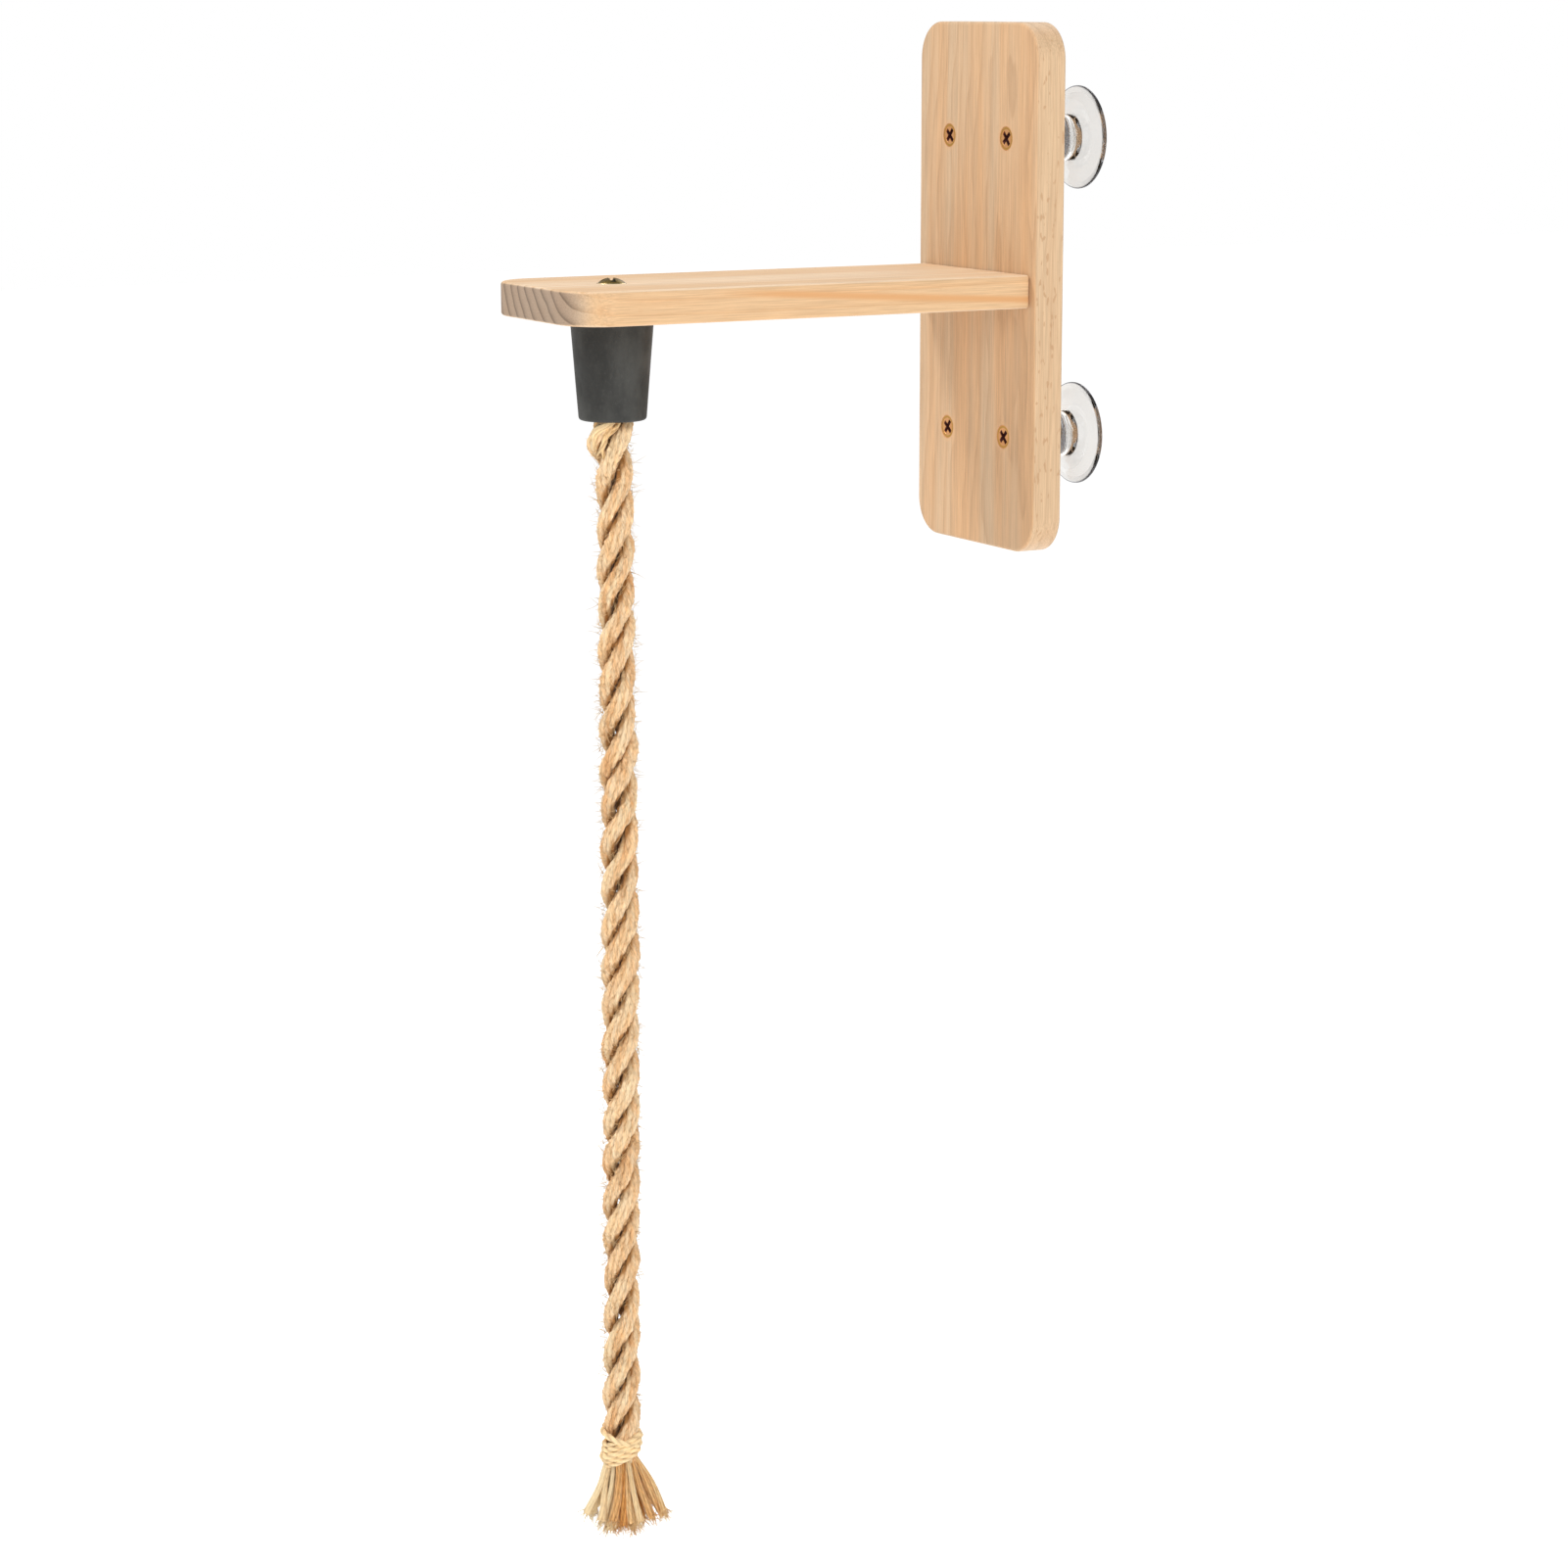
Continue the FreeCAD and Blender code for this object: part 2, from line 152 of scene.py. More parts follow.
class PerchColours(PropertyGroup):
    """Colours of the finishes."""
    board_early: tint("Board earlywood", "Grey-beige wood between the rings of the board",
                      (0.59, 0.415, 0.26))
    board_warm: tint("Board bands", "Orange-tan bands along the board", (0.63, 0.385, 0.205))
    # painted light: the board's edge colour is paler than its faces, for the brighter light on
    # its sides, on top of the sawn edge's own colour
    board_edge_and_light: tint("Board edge", "Paler sawn edge of the board", (0.64, 0.445, 0.27))
    board_end: tint("Board end", "Sawn ends of the board", (0.58, 0.42, 0.28))
    board_late: tint("Board latewood", "Darker wood of the board's rings", (0.43, 0.25, 0.13))
    shelf_early: tint("Shelf earlywood", "Pale wood between the rings of the shelf",
                      (0.79, 0.605, 0.42))
    shelf_warm: tint("Shelf bands", "Orange bands along the shelf", (0.72, 0.49, 0.29))
    shelf_edge: tint("Shelf edge", "Sawn long edge of the shelf", (0.665, 0.42, 0.218))
    shelf_late: tint("Shelf latewood", "Darker wood of the shelf's rings", (0.56, 0.29, 0.12))
    end_grain: tint("Shelf end", "Grey-brown end grain of the shelf", (0.29, 0.205, 0.145))
    jute_light: tint("Jute, crests", "Straw colour on top of the yarns", (0.97, 0.715, 0.445))
    tassel_light: tint("Loose jute", "Brighter straw colour of the loose yarns",
                       (1.0, 0.72, 0.38))
    # painted shade: this brown darkens the grooves between strands and yarns for the shade there;
    # at 1.7 times it is also the colour of darker knots
    jute_knots_and_groove_shade: tint("Jute, grooves", "Brown between the yarns", (0.42, 0.20, 0.062))
    rubber: tint("Rubber", "Charcoal of the socket", (0.030, 0.030, 0.027))
    brass: tint("Yellow plate", "Yellow-passivated rope screw, at its rim", (0.86, 0.68, 0.40))
    # painted reflection: the crown's olive-brown is the dark surroundings mirrored in the dome,
    # painted into its colour
    crown_dark_reflection: tint("Crown", "Olive-brown tarnish on the rope screw's crown",
                      (0.20, 0.135, 0.04))
    # painted reflection: the nut heads' orange is the wood reflected in them, painted into the
    # yellow plate's colour
    nut_plate_and_wood_reflection: tint("Nut plate", "Yellow-passivated nut heads, toned by oil",
                    (0.74, 0.36, 0.14))
    zinc: tint("Zinc plate", "Bright zinc of studs and wood screws", (0.72, 0.74, 0.78))
    cup_tint: tint("Cup tint", "Warm grey of the clear cups", (0.85, 0.835, 0.81))
    # painted shade: the cups' outer edge is darkened in colour, for the shade of an edge seen
    # through its whole width
    cup_rim_shade: tint("Cup rim", "Darker outer edge of the clear cups", (0.16, 0.16, 0.18))


# ---------------------------------------------------------------- mesh helpers

def mesh_object(name, material, points, quads, triangles, loop_uv=None, floats=None):
    """Object with smooth faces from arrays of points, quads and triangles. loop_uv holds one
    pair per face corner in face order, and floats one value per point by attribute name."""
    mesh = bpy.data.meshes.new(name)
    mesh.from_pydata(points, [], [*quads.tolist(), *triangles.tolist()])
    if loop_uv is not None:
        layer = mesh.uv_layers.new(name="lay")
        layer.uv.foreach_set("vector", loop_uv.astype(np.float32).ravel())
    for key, values in (floats or {}).items():
        attribute = mesh.attributes.new(key, "FLOAT", "POINT")
        attribute.data.foreach_set("value", values.astype(np.float32).ravel())
    mesh.validate()
    mesh.shade_smooth()
    mesh.materials.append(material)
    piece = bpy.data.objects.new(name, mesh)
    bpy.context.scene.collection.objects.link(piece)
    return piece


def grid_quads(rows, columns, closed=False):
    """Quads of a grid whose columns wrap round, and whose rows wrap too where it is closed."""
    i, j = np.meshgrid(np.arange(rows if closed else rows - 1), np.arange(columns),
                       indexing="ij")
    below, ahead = (i + 1) % rows, (j + 1) % columns
    return np.stack([i * columns + j, i * columns + ahead, below * columns + ahead,
                     below * columns + j], -1).reshape(-1, 4)


def tube_faces(rows, columns, first):
    """Quads and end fans of a closed tube whose points are rows of rings, followed by the two
    pole points. Rings run counter-clockwise about the direction of the rows."""
    ring = np.arange(columns)
    step = (ring + 1) % columns
    start = np.stack([np.full(columns, rows * columns), step, ring], -1)
    last = (rows - 1) * columns
    end = np.stack([np.full(columns, rows * columns + 1), last + ring, last + step], -1)
    return grid_quads(rows, columns) + first, np.concatenate([start, end]) + first


def tube_uv(u_edges, v_rows):
    """Corner UVs for tube_faces: u at the columns' edges (one more than the columns, so the
    seam doesn't fold back), shifted per row, and v along the rows."""
    grid = np.stack([u_edges, np.repeat(v_rows[:, None], u_edges.shape[1], 1)], -1)
    quads = np.stack([grid[:-1, :-1], grid[:-1, 1:], grid[1:, 1:], grid[1:, :-1]], 2)
    start = np.stack([grid[0, :-1], grid[0, 1:], grid[0, :-1]], 1)
    end = np.stack([grid[-1, :-1], grid[-1, :-1], grid[-1, 1:]], 1)
    return quads.reshape(-1, 2), np.concatenate([start, end]).reshape(-1, 2)


def joined(tubes):
    """One mesh's arrays from several closed tubes, each (rings, poles, u_edges, v_rows,
    floats): rings is rows x columns x 3, poles is 2 x 3."""
    points, quads, triangles, quad_uv, tri_uv, floats = [], [], [], [], [], {}
    first = 0
    for rings, poles, u_edges, v_rows, values in tubes:
        rows, columns = rings.shape[:2]
        made = (np.concatenate([rings.reshape(-1, 3), poles]),
                *tube_faces(rows, columns, first), *tube_uv(u_edges, v_rows))
        for store, array in zip((points, quads, triangles, quad_uv, tri_uv), made):
            store.append(array)
        for key, grid in values.items():
            ends = [grid[0].mean(), grid[-1].mean()]
            floats.setdefault(key, []).append(np.concatenate([grid.ravel(), ends]))
        first += rows * columns + 2
    return (np.concatenate(points), np.concatenate(quads), np.concatenate(triangles),
            np.concatenate(quad_uv + tri_uv),
            {key: np.concatenate(value) for key, value in floats.items()})


def unit(vectors):
    """Vectors scaled to length one."""
    return vectors / np.maximum(np.linalg.norm(vectors, axis=-1, keepdims=True), 1e-12)


def around(turn, first, second):
    """Directions at a turn from the first cross direction towards the second: its cosine times
    the first plus its sine times the second."""
    turn = np.asarray(turn)[..., None]
    return np.cos(turn) * first + np.sin(turn) * second


def eased(share):
    """Smooth step from 0 to 1: three times the square less twice the cube."""
    share = np.clip(share, 0, 1)
    return share * share * (3 - 2 * share)


def run_length(path):
    """Length from a path's start to each of its points."""
    return np.concatenate([[0], np.cumsum(np.linalg.norm(np.diff(path, axis=0), axis=1))])


def along_path(path, reference=X_AXIS):
    """Tangent and two cross directions at each point of a path: the reference direction made
    square to the tangent, and the tangent crossed with it."""
    tangent = unit(np.gradient(path, axis=0))
    first = unit(reference - tangent * (tangent @ reference)[:, None])
    return tangent, first, np.cross(tangent, first)


def tube_along(path, radius, columns, lobes=0.0, lobe_count=2, lobe_turns=0.0, squash=1.0,
               reference=X_AXIS, tone=0.0):
    """Closed tube along a path. Its radius at angle a is the given radius times
    1 - lobes * (1 - |cos(count/2 * (a - twist))|), so that the lobes are the plies of a yarn
    that turns lobe_turns times over the path's length."""
    _, first, second = along_path(path, reference)
    angle = np.arange(columns)[None] * 2 * np.pi / columns
    twist = np.linspace(0, lobe_turns * 2 * np.pi, len(path))[:, None]
    ply = np.abs(np.cos(lobe_count / 2 * (angle - twist)))
    reach = radius[:, None] * (1 - lobes * (1 - ply))
    rings = path[:, None] + reach[..., None] * around(angle, first[:, None],
                                                      squash * second[:, None])
    edges = np.arange(columns + 1) / columns
    u_edges = lobe_count * (edges[None] - twist / (2 * np.pi))
    return rings, path[[0, -1]], u_edges, run_length(path) / MM, {
        "groove_shade": (1 - ply) * (lobes > 0), "tone": np.full(ply.shape, tone)}


def revolved(profile, centre, axis, segments, waviness=0.0):
    """Rings of a surface of revolution, one for each (radius, distance along the axis) row. The
    radius swells by a few smooth lumps round the turn, save close to the axis."""
    radius, height = profile[:, 0][:, None], profile[:, 1][:, None]
    angle = np.arange(segments) * 2 * np.pi / segments
    lumps = waviness * (np.sin(2 * angle + 0.4) + 0.5 * np.sin(5 * angle + 120 * height))
    reach = radius * (1 + lumps * np.clip((radius - 0.004) / 0.004, 0, 1))
    return (np.asarray(centre) + height[..., None] * np.asarray(axis, float)
            + reach[..., None] * around(angle, X_AXIS, np.cross(axis, X_AXIS)))


def lathe(name, material, profile, centre, axis, segments):
    """Surface of revolution whose profile starts and ends on the axis."""
    side = profile[1:-1]
    poles = np.asarray(centre) + profile[[0, -1], 1][:, None] * np.asarray(axis, float)
    edges = np.repeat((np.arange(segments + 1) / segments)[None], len(side), 0)
    return mesh_object(name, material, *joined([
        (revolved(side, centre, axis, segments), poles, edges, side[:, 1] / MM, {})]))


def ring_lathe(name, material, corners, top_z, segments, waviness):
    """Ring-shaped solid of revolution about the rope's axis, from a closed loop of (radius,
    depth below top_z, rounding) corners: the grid wraps both ways, so it has no poles. Its map
    is a rope's, with nine yarns round it and 1.5 mm for each row."""
    loop = finer(rounded_profile(corners + corners[:1]))[:-1]
    rings = revolved(loop, (0, ROPE_Y, top_z), (0, 0, -1), segments, waviness)
    rows = len(loop)
    i, j = np.meshgrid(np.arange(rows), np.arange(segments), indexing="ij")
    uv = np.stack([np.stack([j, j + 1, j + 1, j], -1) / segments * 9,
                   np.stack([i, i, i + 1, i + 1], -1) * 1.5], -1)
    # an even share of painted groove shade, which only the jute of the held rope reads
    return mesh_object(name, material, rings.reshape(-1, 3), grid_quads(rows, segments, True),
                       NO_TRIANGLES, uv.reshape(-1, 2),
                       {"groove_shade": np.full(rows * segments, 0.45),
                        "tone": np.full(rows * segments, -0.5)})


def rounded_profile(corners, steps=7):
    """Profile through (radius, height, rounding) corners in order: each corner is an arc tangent
    to its two sides, from steps points, and a rounding of 0 keeps the corner sharp."""
    places = np.array([c[:2] for c in corners], float)
    out = [places[0]]
    for index in range(1, len(corners) - 1):
        here, rounding = places[index], corners[index][2]
        if not rounding:
            out.append(here)
            continue
        back, ahead = unit(places[index - 1] - here), unit(places[index + 1] - here)
        half = math.acos(float(np.clip(back @ ahead, -1, 1))) / 2
        reach = rounding / math.tan(half)
        middle = here + unit(back + ahead) * rounding / math.sin(half)
        start, end = here + back * reach - middle, here + ahead * reach - middle
        turn = np.linspace(0, 1, steps)[:, None]
        out.extend(middle + unit(start * (1 - turn) + end * turn) * rounding)
    out.append(places[-1])
    return np.array(out)


def finer(profile):
    """The same profile with extra points, so that no side is longer than PROFILE_STEP."""
    out = [profile[:1]]
    for a, b in zip(profile[:-1], profile[1:]):
        count = max(1, math.ceil(np.linalg.norm(b - a) / PROFILE_STEP))
        out.append(a + (b - a) * (np.arange(1, count + 1) / count)[:, None])
    return np.concatenate(out)


def smooth_random(rng, rows, knots, count=1):
    """count smooth random curves of rows values about 0, from -1 to 1, through evenly spaced
    random knots joined by half-cosine steps."""
    table = rng.uniform(-1, 1, (count, knots + 2))
    place = np.linspace(0, knots, rows)
    index = np.minimum(place.astype(int), knots)
    share = (1 - np.cos((place - index) * np.pi)) / 2
    return table[:, index] * (1 - share) + table[:, index + 1] * share


# ---------------------------------------------------------------- node helpers

class Sheet:
    """A node tree that is being drawn: adds nodes and joins their sockets."""

    def __init__(self, tree):
        self.tree = tree
        tree.nodes.clear()

    def feed(self, node, inputs):
        """Gives each named input a value or another node's socket."""
        for key, value in inputs.items():
            if isinstance(value, bpy.types.NodeSocket):
                self.tree.links.new(value, node.inputs[key])
            else:
                node.inputs[key].default_value = value
        return node

    def node(self, kind, inputs=None, **settings):
        """New node with its settings and inputs."""
        made = self.tree.nodes.new(kind)
        for key, value in settings.items():
            setattr(made, key, value)
        return self.feed(made, inputs or {})

    def use(self, name, inputs):
        """Outputs of a shader group that is placed with its own values."""
        return self.node("ShaderNodeGroup", inputs,
                         node_tree=bpy.data.node_groups[name]).outputs

    def place(self):
        """Object coordinates."""
        return self.node("ShaderNodeTexCoord").outputs["Object"]

    def parts(self, vector):
        """The three parts of a vector."""
        return tuple(self.node("ShaderNodeSeparateXYZ", {0: vector}).outputs)

    def maths(self, operation, a, b=0.0, clamp=False):
        """Output of a Math node."""
        return self.node("ShaderNodeMath", {0: a, 1: b}, operation=operation,
                         use_clamp=clamp).outputs[0]

    def plus(self, a, b, clamp=False):
        """Sum of two values."""
        return self.maths("ADD", a, b, clamp)

    def minus(self, a, b):
        """Difference of two values."""
        return self.maths("SUBTRACT", a, b)

    def times(self, a, b, clamp=False):
        """Product of two values."""
        return self.maths("MULTIPLY", a, b, clamp)

    def size(self, value):
        """A value without its sign."""
        return self.maths("ABSOLUTE", value)

    def far(self, a, b):
        """Root of the sum of two values' squares."""
        return self.maths("SQRT", self.plus(self.times(a, a), self.times(b, b)))

    def ramp(self, value, low, high, to_low=0.0, to_high=1.0):
        """Smooth step of a value from low..high to to_low..to_high."""
        return self.node("ShaderNodeMapRange", {
            "Value": value, "From Min": low, "From Max": high,
            "To Min": to_low, "To Max": to_high},
            interpolation_type="SMOOTHSTEP").outputs[0]

    def mix(self, share, a, b, blend="MIX"):
        """Output colour of two colours mixed by a share."""
        return self.node("ShaderNodeMix", {0: share, 6: a, 7: b}, data_type="RGBA",
                         blend_type=blend).outputs[2]

    def noise(self, vector, scale, detail, roughness):
        """Output value of a noise texture, from 0 to 1. A scale of three numbers stretches it
        along the axes."""
        if isinstance(scale, tuple):
            vector, scale = self.stretched(vector, scale), 1.0
        return self.node("ShaderNodeTexNoise", {
            "Vector": vector, "Scale": scale, "Detail": detail,
            "Roughness": roughness}).outputs["Fac"]

    def stretched(self, vector, scale):
        """A vector multiplied by a scale for each axis."""
        return self.node("ShaderNodeVectorMath", {0: vector, 1: scale},
                         operation="MULTIPLY").outputs[0]

    def bump(self, height, strength, distance):
        """Output normal of a Bump node."""
        return self.node("ShaderNodeBump", {"Height": height, "Strength": strength,
                                            "Distance": distance}).outputs[0]

    def from_fixings(self, where, places):
        """Distance, seen from the front, to the nearest of four points that lie places[0]
        either side of the middle and places[1] above and below it."""
        x, _, z = self.parts(where)
        return self.far(self.minus(self.size(x), places[0]),
                        self.minus(self.size(z), places[1]))


def group(name, values, masks):
    """New shader node group that takes a Vector and the named values, and puts out the named
    masks. Gives its sheet, its input sockets and its output node."""
    tree = bpy.data.node_groups.new(name, "ShaderNodeTree")
    tree.interface.new_socket("Vector", in_out="INPUT", socket_type="NodeSocketVector")
    for title, default in values.items():
        socket = tree.interface.new_socket(title, in_out="INPUT", socket_type="NodeSocketFloat")
        socket.default_value = default
    for title in masks:
        tree.interface.new_socket(title, in_out="OUTPUT", socket_type="NodeSocketFloat")
    sheet = Sheet(tree)
    return sheet, sheet.node("NodeGroupInput").outputs, sheet.node("NodeGroupOutput")


def pine_group():
    """Sawn pine: growth rings round a pith line along Z, with soft wander along the grain, broad
    bands of hue, narrow stripes, fine fibres and short dark resin flecks. The vector is in
    millimetres."""
    s, start, end = group("pine_figure", {"Ring Width": 4.0, "Wander": 3.0},
                          ("Latewood", "Fibre", "Band", "Fleck", "Stripe"))
    vector, wander = start["Vector"], start["Wander"]
    slow = s.noise(vector, (0.018, 0.018, 0.006), 2.0, 0.5)
    fine = s.noise(vector, (0.11, 0.11, 0.012), 2.0, 0.5)
    x, y, _ = s.parts(vector)
    drift = s.times(s.minus(slow, 0.5), s.times(wander, 4.0))
    shake = s.times(s.minus(fine, 0.5), wander)
    place = s.maths("DIVIDE", s.plus(s.far(x, y), s.plus(drift, shake)), start["Ring Width"])
    ring = s.maths("FRACT", place)
    s.feed(end, {
        "Latewood": s.times(s.maths("POWER", ring, 4.0), s.ramp(ring, 0.94, 1.0, 1.0, 0.0)),
        "Fibre": s.noise(vector, (1.7, 1.7, 0.035), 4.0, 0.65),
        "Band": s.ramp(s.noise(vector, (0.05, 0.05, 0.003), 3.0, 0.55), 0.36, 0.64),
        "Fleck": s.ramp(s.noise(vector, (0.50, 0.50, 0.20), 1.0, 0.4), 0.64, 0.71),
        "Stripe": s.ramp(s.noise(vector, (0.19, 0.12, 0.005), 4.0, 0.6), 0.50, 0.74)})


def wear_group():
    """Dust and handling: broad smudges and fine specks, as two masks."""
    s, start, end = group("handling", {"Scale": 1.0}, ("Smudge", "Speck"))
    wide = s.noise(start["Vector"], start["Scale"], 3.0, 0.55)
    close = s.noise(start["Vector"], s.times(start["Scale"], 14.0), 2.0, 0.6)
    s.feed(end, {"Smudge": s.ramp(wide, 0.35, 0.7), "Speck": s.ramp(close, 0.52, 0.72)})


def fibre_group():
    """Jute fibres on a yarn's own map: u counts yarns round a strand and v runs along it in
    millimetres. Long thin streaks that lean across the yarn, slower bands of tone, and darker
    knots."""
    s, start, end = group("jute_fibre", {"Lean": 0.16}, ("Streak", "Band", "Knot"))
    x, y, _ = s.parts(start["Vector"])
    across = s.plus(x, s.times(y, start["Lean"]))
    place = s.node("ShaderNodeCombineXYZ", {0: across, 1: y, 2: 0.0}).outputs[0]
    s.feed(end, {
        "Streak": s.noise(place, (4.2, 0.26, 1.0), 4.0, 0.65),
        "Band": s.ramp(s.noise(place, (0.9, 0.07, 1.0), 2.0, 0.5), 0.35, 0.65),
        "Knot": s.ramp(s.noise(place, (1.9, 0.42, 1.0), 2.0, 0.55), 0.60, 0.74)})


def material_sheet(name):
    """New material with a Principled shader joined to its output, and its sheet."""
    material = bpy.data.materials.new(name)
    material.use_nodes = True
    sheet = Sheet(material.node_tree)
    shader = sheet.node("ShaderNodeBsdfPrincipled")
    sheet.node("ShaderNodeOutputMaterial", {"Surface": shader.outputs[0]})
    return material, sheet, shader


def rgba(colour, factor=1.0):
    """Colour as four numbers, scaled."""
    return (colour[0] * factor, colour[1] * factor, colour[2] * factor, 1.0)


def pine_material(name, woods, turn, pith, ring_width, wander, end_lines, flecks, nuts=None,
                  seam=None):
    """Oiled pine. woods are its earlywood, warm bands, latewood, sawn edge and end grain. The
    sawn edge shows where the surface faces sideways, and end grain where it faces along the
    grain; the board's paler edge colour is also painted light, for the brighter light on its
    sides.
    turn lays Z along the grain; end_lines and flecks are how strongly the rings show on
    the ends and the flecks on the edge. nuts is the place of the nut heads, x and z in
    millimetres either side of the middle, with a warm orange halo of light painted round each.
    seam is the height at which a dark resin streak starts, the two lengths between which it
    grows, and its fall along them."""
    early, warm, late, edge, end_colour = woods
    material, s, shader = material_sheet(name)
    where = s.node("ShaderNodeTexCoord").outputs
    in_mm = s.stretched(where["Object"], (1000.0, 1000.0, 1000.0))
    laid = s.node("ShaderNodeMapping", {"Vector": in_mm, "Location": pith, "Rotation": turn},
                  vector_type="POINT")
    figure = s.use("pine_figure", {"Vector": laid.outputs[0], "Ring Width": ring_width,
                                   "Wander": wander})
    rings = figure["Latewood"]
    laid_normal = s.node("ShaderNodeMapping", {"Vector": where["Normal"], "Rotation": turn},
                         vector_type="NORMAL")
    facing = s.parts(laid_normal.outputs[0])
    end_share = s.ramp(s.size(facing[2]), 0.50, 0.97)
    edge_share = s.ramp(s.size(facing[0]), 0.5, 0.9)

    face = s.mix(figure["Band"], rgba(early), rgba(warm))
    # the sawn edge's colour; on the board it is paler as painted light on its sides
    face = s.mix(s.times(edge_share, 0.85), face, rgba(edge))
    face = s.mix(s.times(figure["Stripe"], 0.38), face, rgba(late, 1.2))
    ring_share = s.times(s.times(rings, 0.50), s.minus(1.0, s.times(edge_share, 0.35)))
    face = s.mix(ring_share, face, rgba(late))
    sawn = s.mix(s.times(rings, end_lines, clamp=True), rgba(end_colour, 1.2),
                 rgba(end_colour, 0.55))
    colour = s.mix(s.times(end_share, 0.9), face, sawn)
    fibre = s.ramp(figure["Fibre"], 0.28, 0.72, 0.84, 1.12)
    fibre = s.node("ShaderNodeCombineColor", {0: fibre, 1: fibre, 2: fibre}).outputs[0]
    colour = s.mix(1.0, colour, fibre, "MULTIPLY")
    fleck_share = s.ramp(edge_share, 0.0, 1.0, 0.15 * flecks, flecks)
    colour = s.mix(s.times(figure["Fleck"], fleck_share), colour, rgba(late, 1.1))
    if seam:
        start_z, start_y, full_y, fall = seam
        _, y, z = s.parts(in_mm)
        off = s.plus(s.minus(z, start_z), s.times(s.minus(y, start_y), fall))
        off = s.plus(off, s.times(figure["Band"], 1.6))
        near = s.times(s.ramp(s.size(off), 0.3, 2.6, 1.0, 0.0), s.ramp(y, start_y, full_y))
        colour = s.mix(s.times(s.times(near, edge_share), 0.9), colour, rgba(late, 1.15))
    if nuts:
        # painted light: a warm orange halo round each nut head, for the nut's yellow light on the
        # wood
        nut_halo_glow = s.ramp(s.from_fixings(in_mm, nuts), 6.0, 8.6, 0.5, 0.0)
        colour = s.mix(nut_halo_glow, colour, rgba(warm, 1.04))
    height = s.minus(s.plus(s.times(figure["Fibre"], 0.05), s.times(rings, 0.05)),
                     s.times(figure["Fleck"], 0.06))
    s.feed(shader, {
        "Base Color": colour, "Roughness": s.plus(0.50, s.times(figure["Fibre"], 0.22)),
        "Normal": s.bump(height, 0.55, 0.001), "Specular IOR Level": 0.35})
    return material


def jute_material(name, light, dark):
    """Jute: brown painted in the grooves as their shade, straw on the crests, long fibre streaks,
    darker bands, and a tone for each yarn, which on the tassel also carries painted light and
    shade."""
    material, s, shader = material_sheet(name)
    lay = s.node("ShaderNodeUVMap", uv_map="lay")
    fibre = s.use("jute_fibre", {"Vector": lay.outputs[0]})
    groove_shade = s.node("ShaderNodeAttribute", attribute_name="groove_shade").outputs["Fac"]
    tone = s.node("ShaderNodeAttribute", attribute_name="tone").outputs["Fac"]
    streak = s.ramp(fibre["Streak"], 0.34, 0.66)
    crest = s.mix(streak, rgba(light, 0.72), rgba(light, 1.16))
    warm = s.mix(1.0, crest, (0.95, 0.78, 0.60, 1.0), "MULTIPLY")
    crest = s.mix(s.times(fibre["Band"], 0.75), crest, warm)
    # painted shade: the grooves are mixed towards brown
    colour = s.mix(s.maths("POWER", groove_shade, 1.3, clamp=True), crest, rgba(dark))
    colour = s.mix(s.times(fibre["Knot"], 0.5), colour, rgba(dark, 1.7))
    pale = s.mix(0.6, colour, (1.0, 0.86, 0.56, 1.0))
    brown = s.mix(1.0, colour, (0.76, 0.53, 0.31, 1.0), "MULTIPLY")
    # tone makes yarns paler or browner: on a strand it varies at random; on the tassel it also
    # holds painted light and shade
    colour = s.mix(s.ramp(tone, 0.0, 1.0), colour, pale)
    colour = s.mix(s.ramp(tone, 0.0, -1.0), colour, brown)
    s.feed(shader, {
        "Base Color": colour, "Roughness": s.plus(0.66, s.times(streak, 0.2)),
        "Normal": s.bump(s.times(fibre["Streak"], 0.8), 1.0, 0.0009),
        "Sheen Weight": 0.15, "Sheen Roughness": 0.4, "Specular IOR Level": 0.2})
    return material


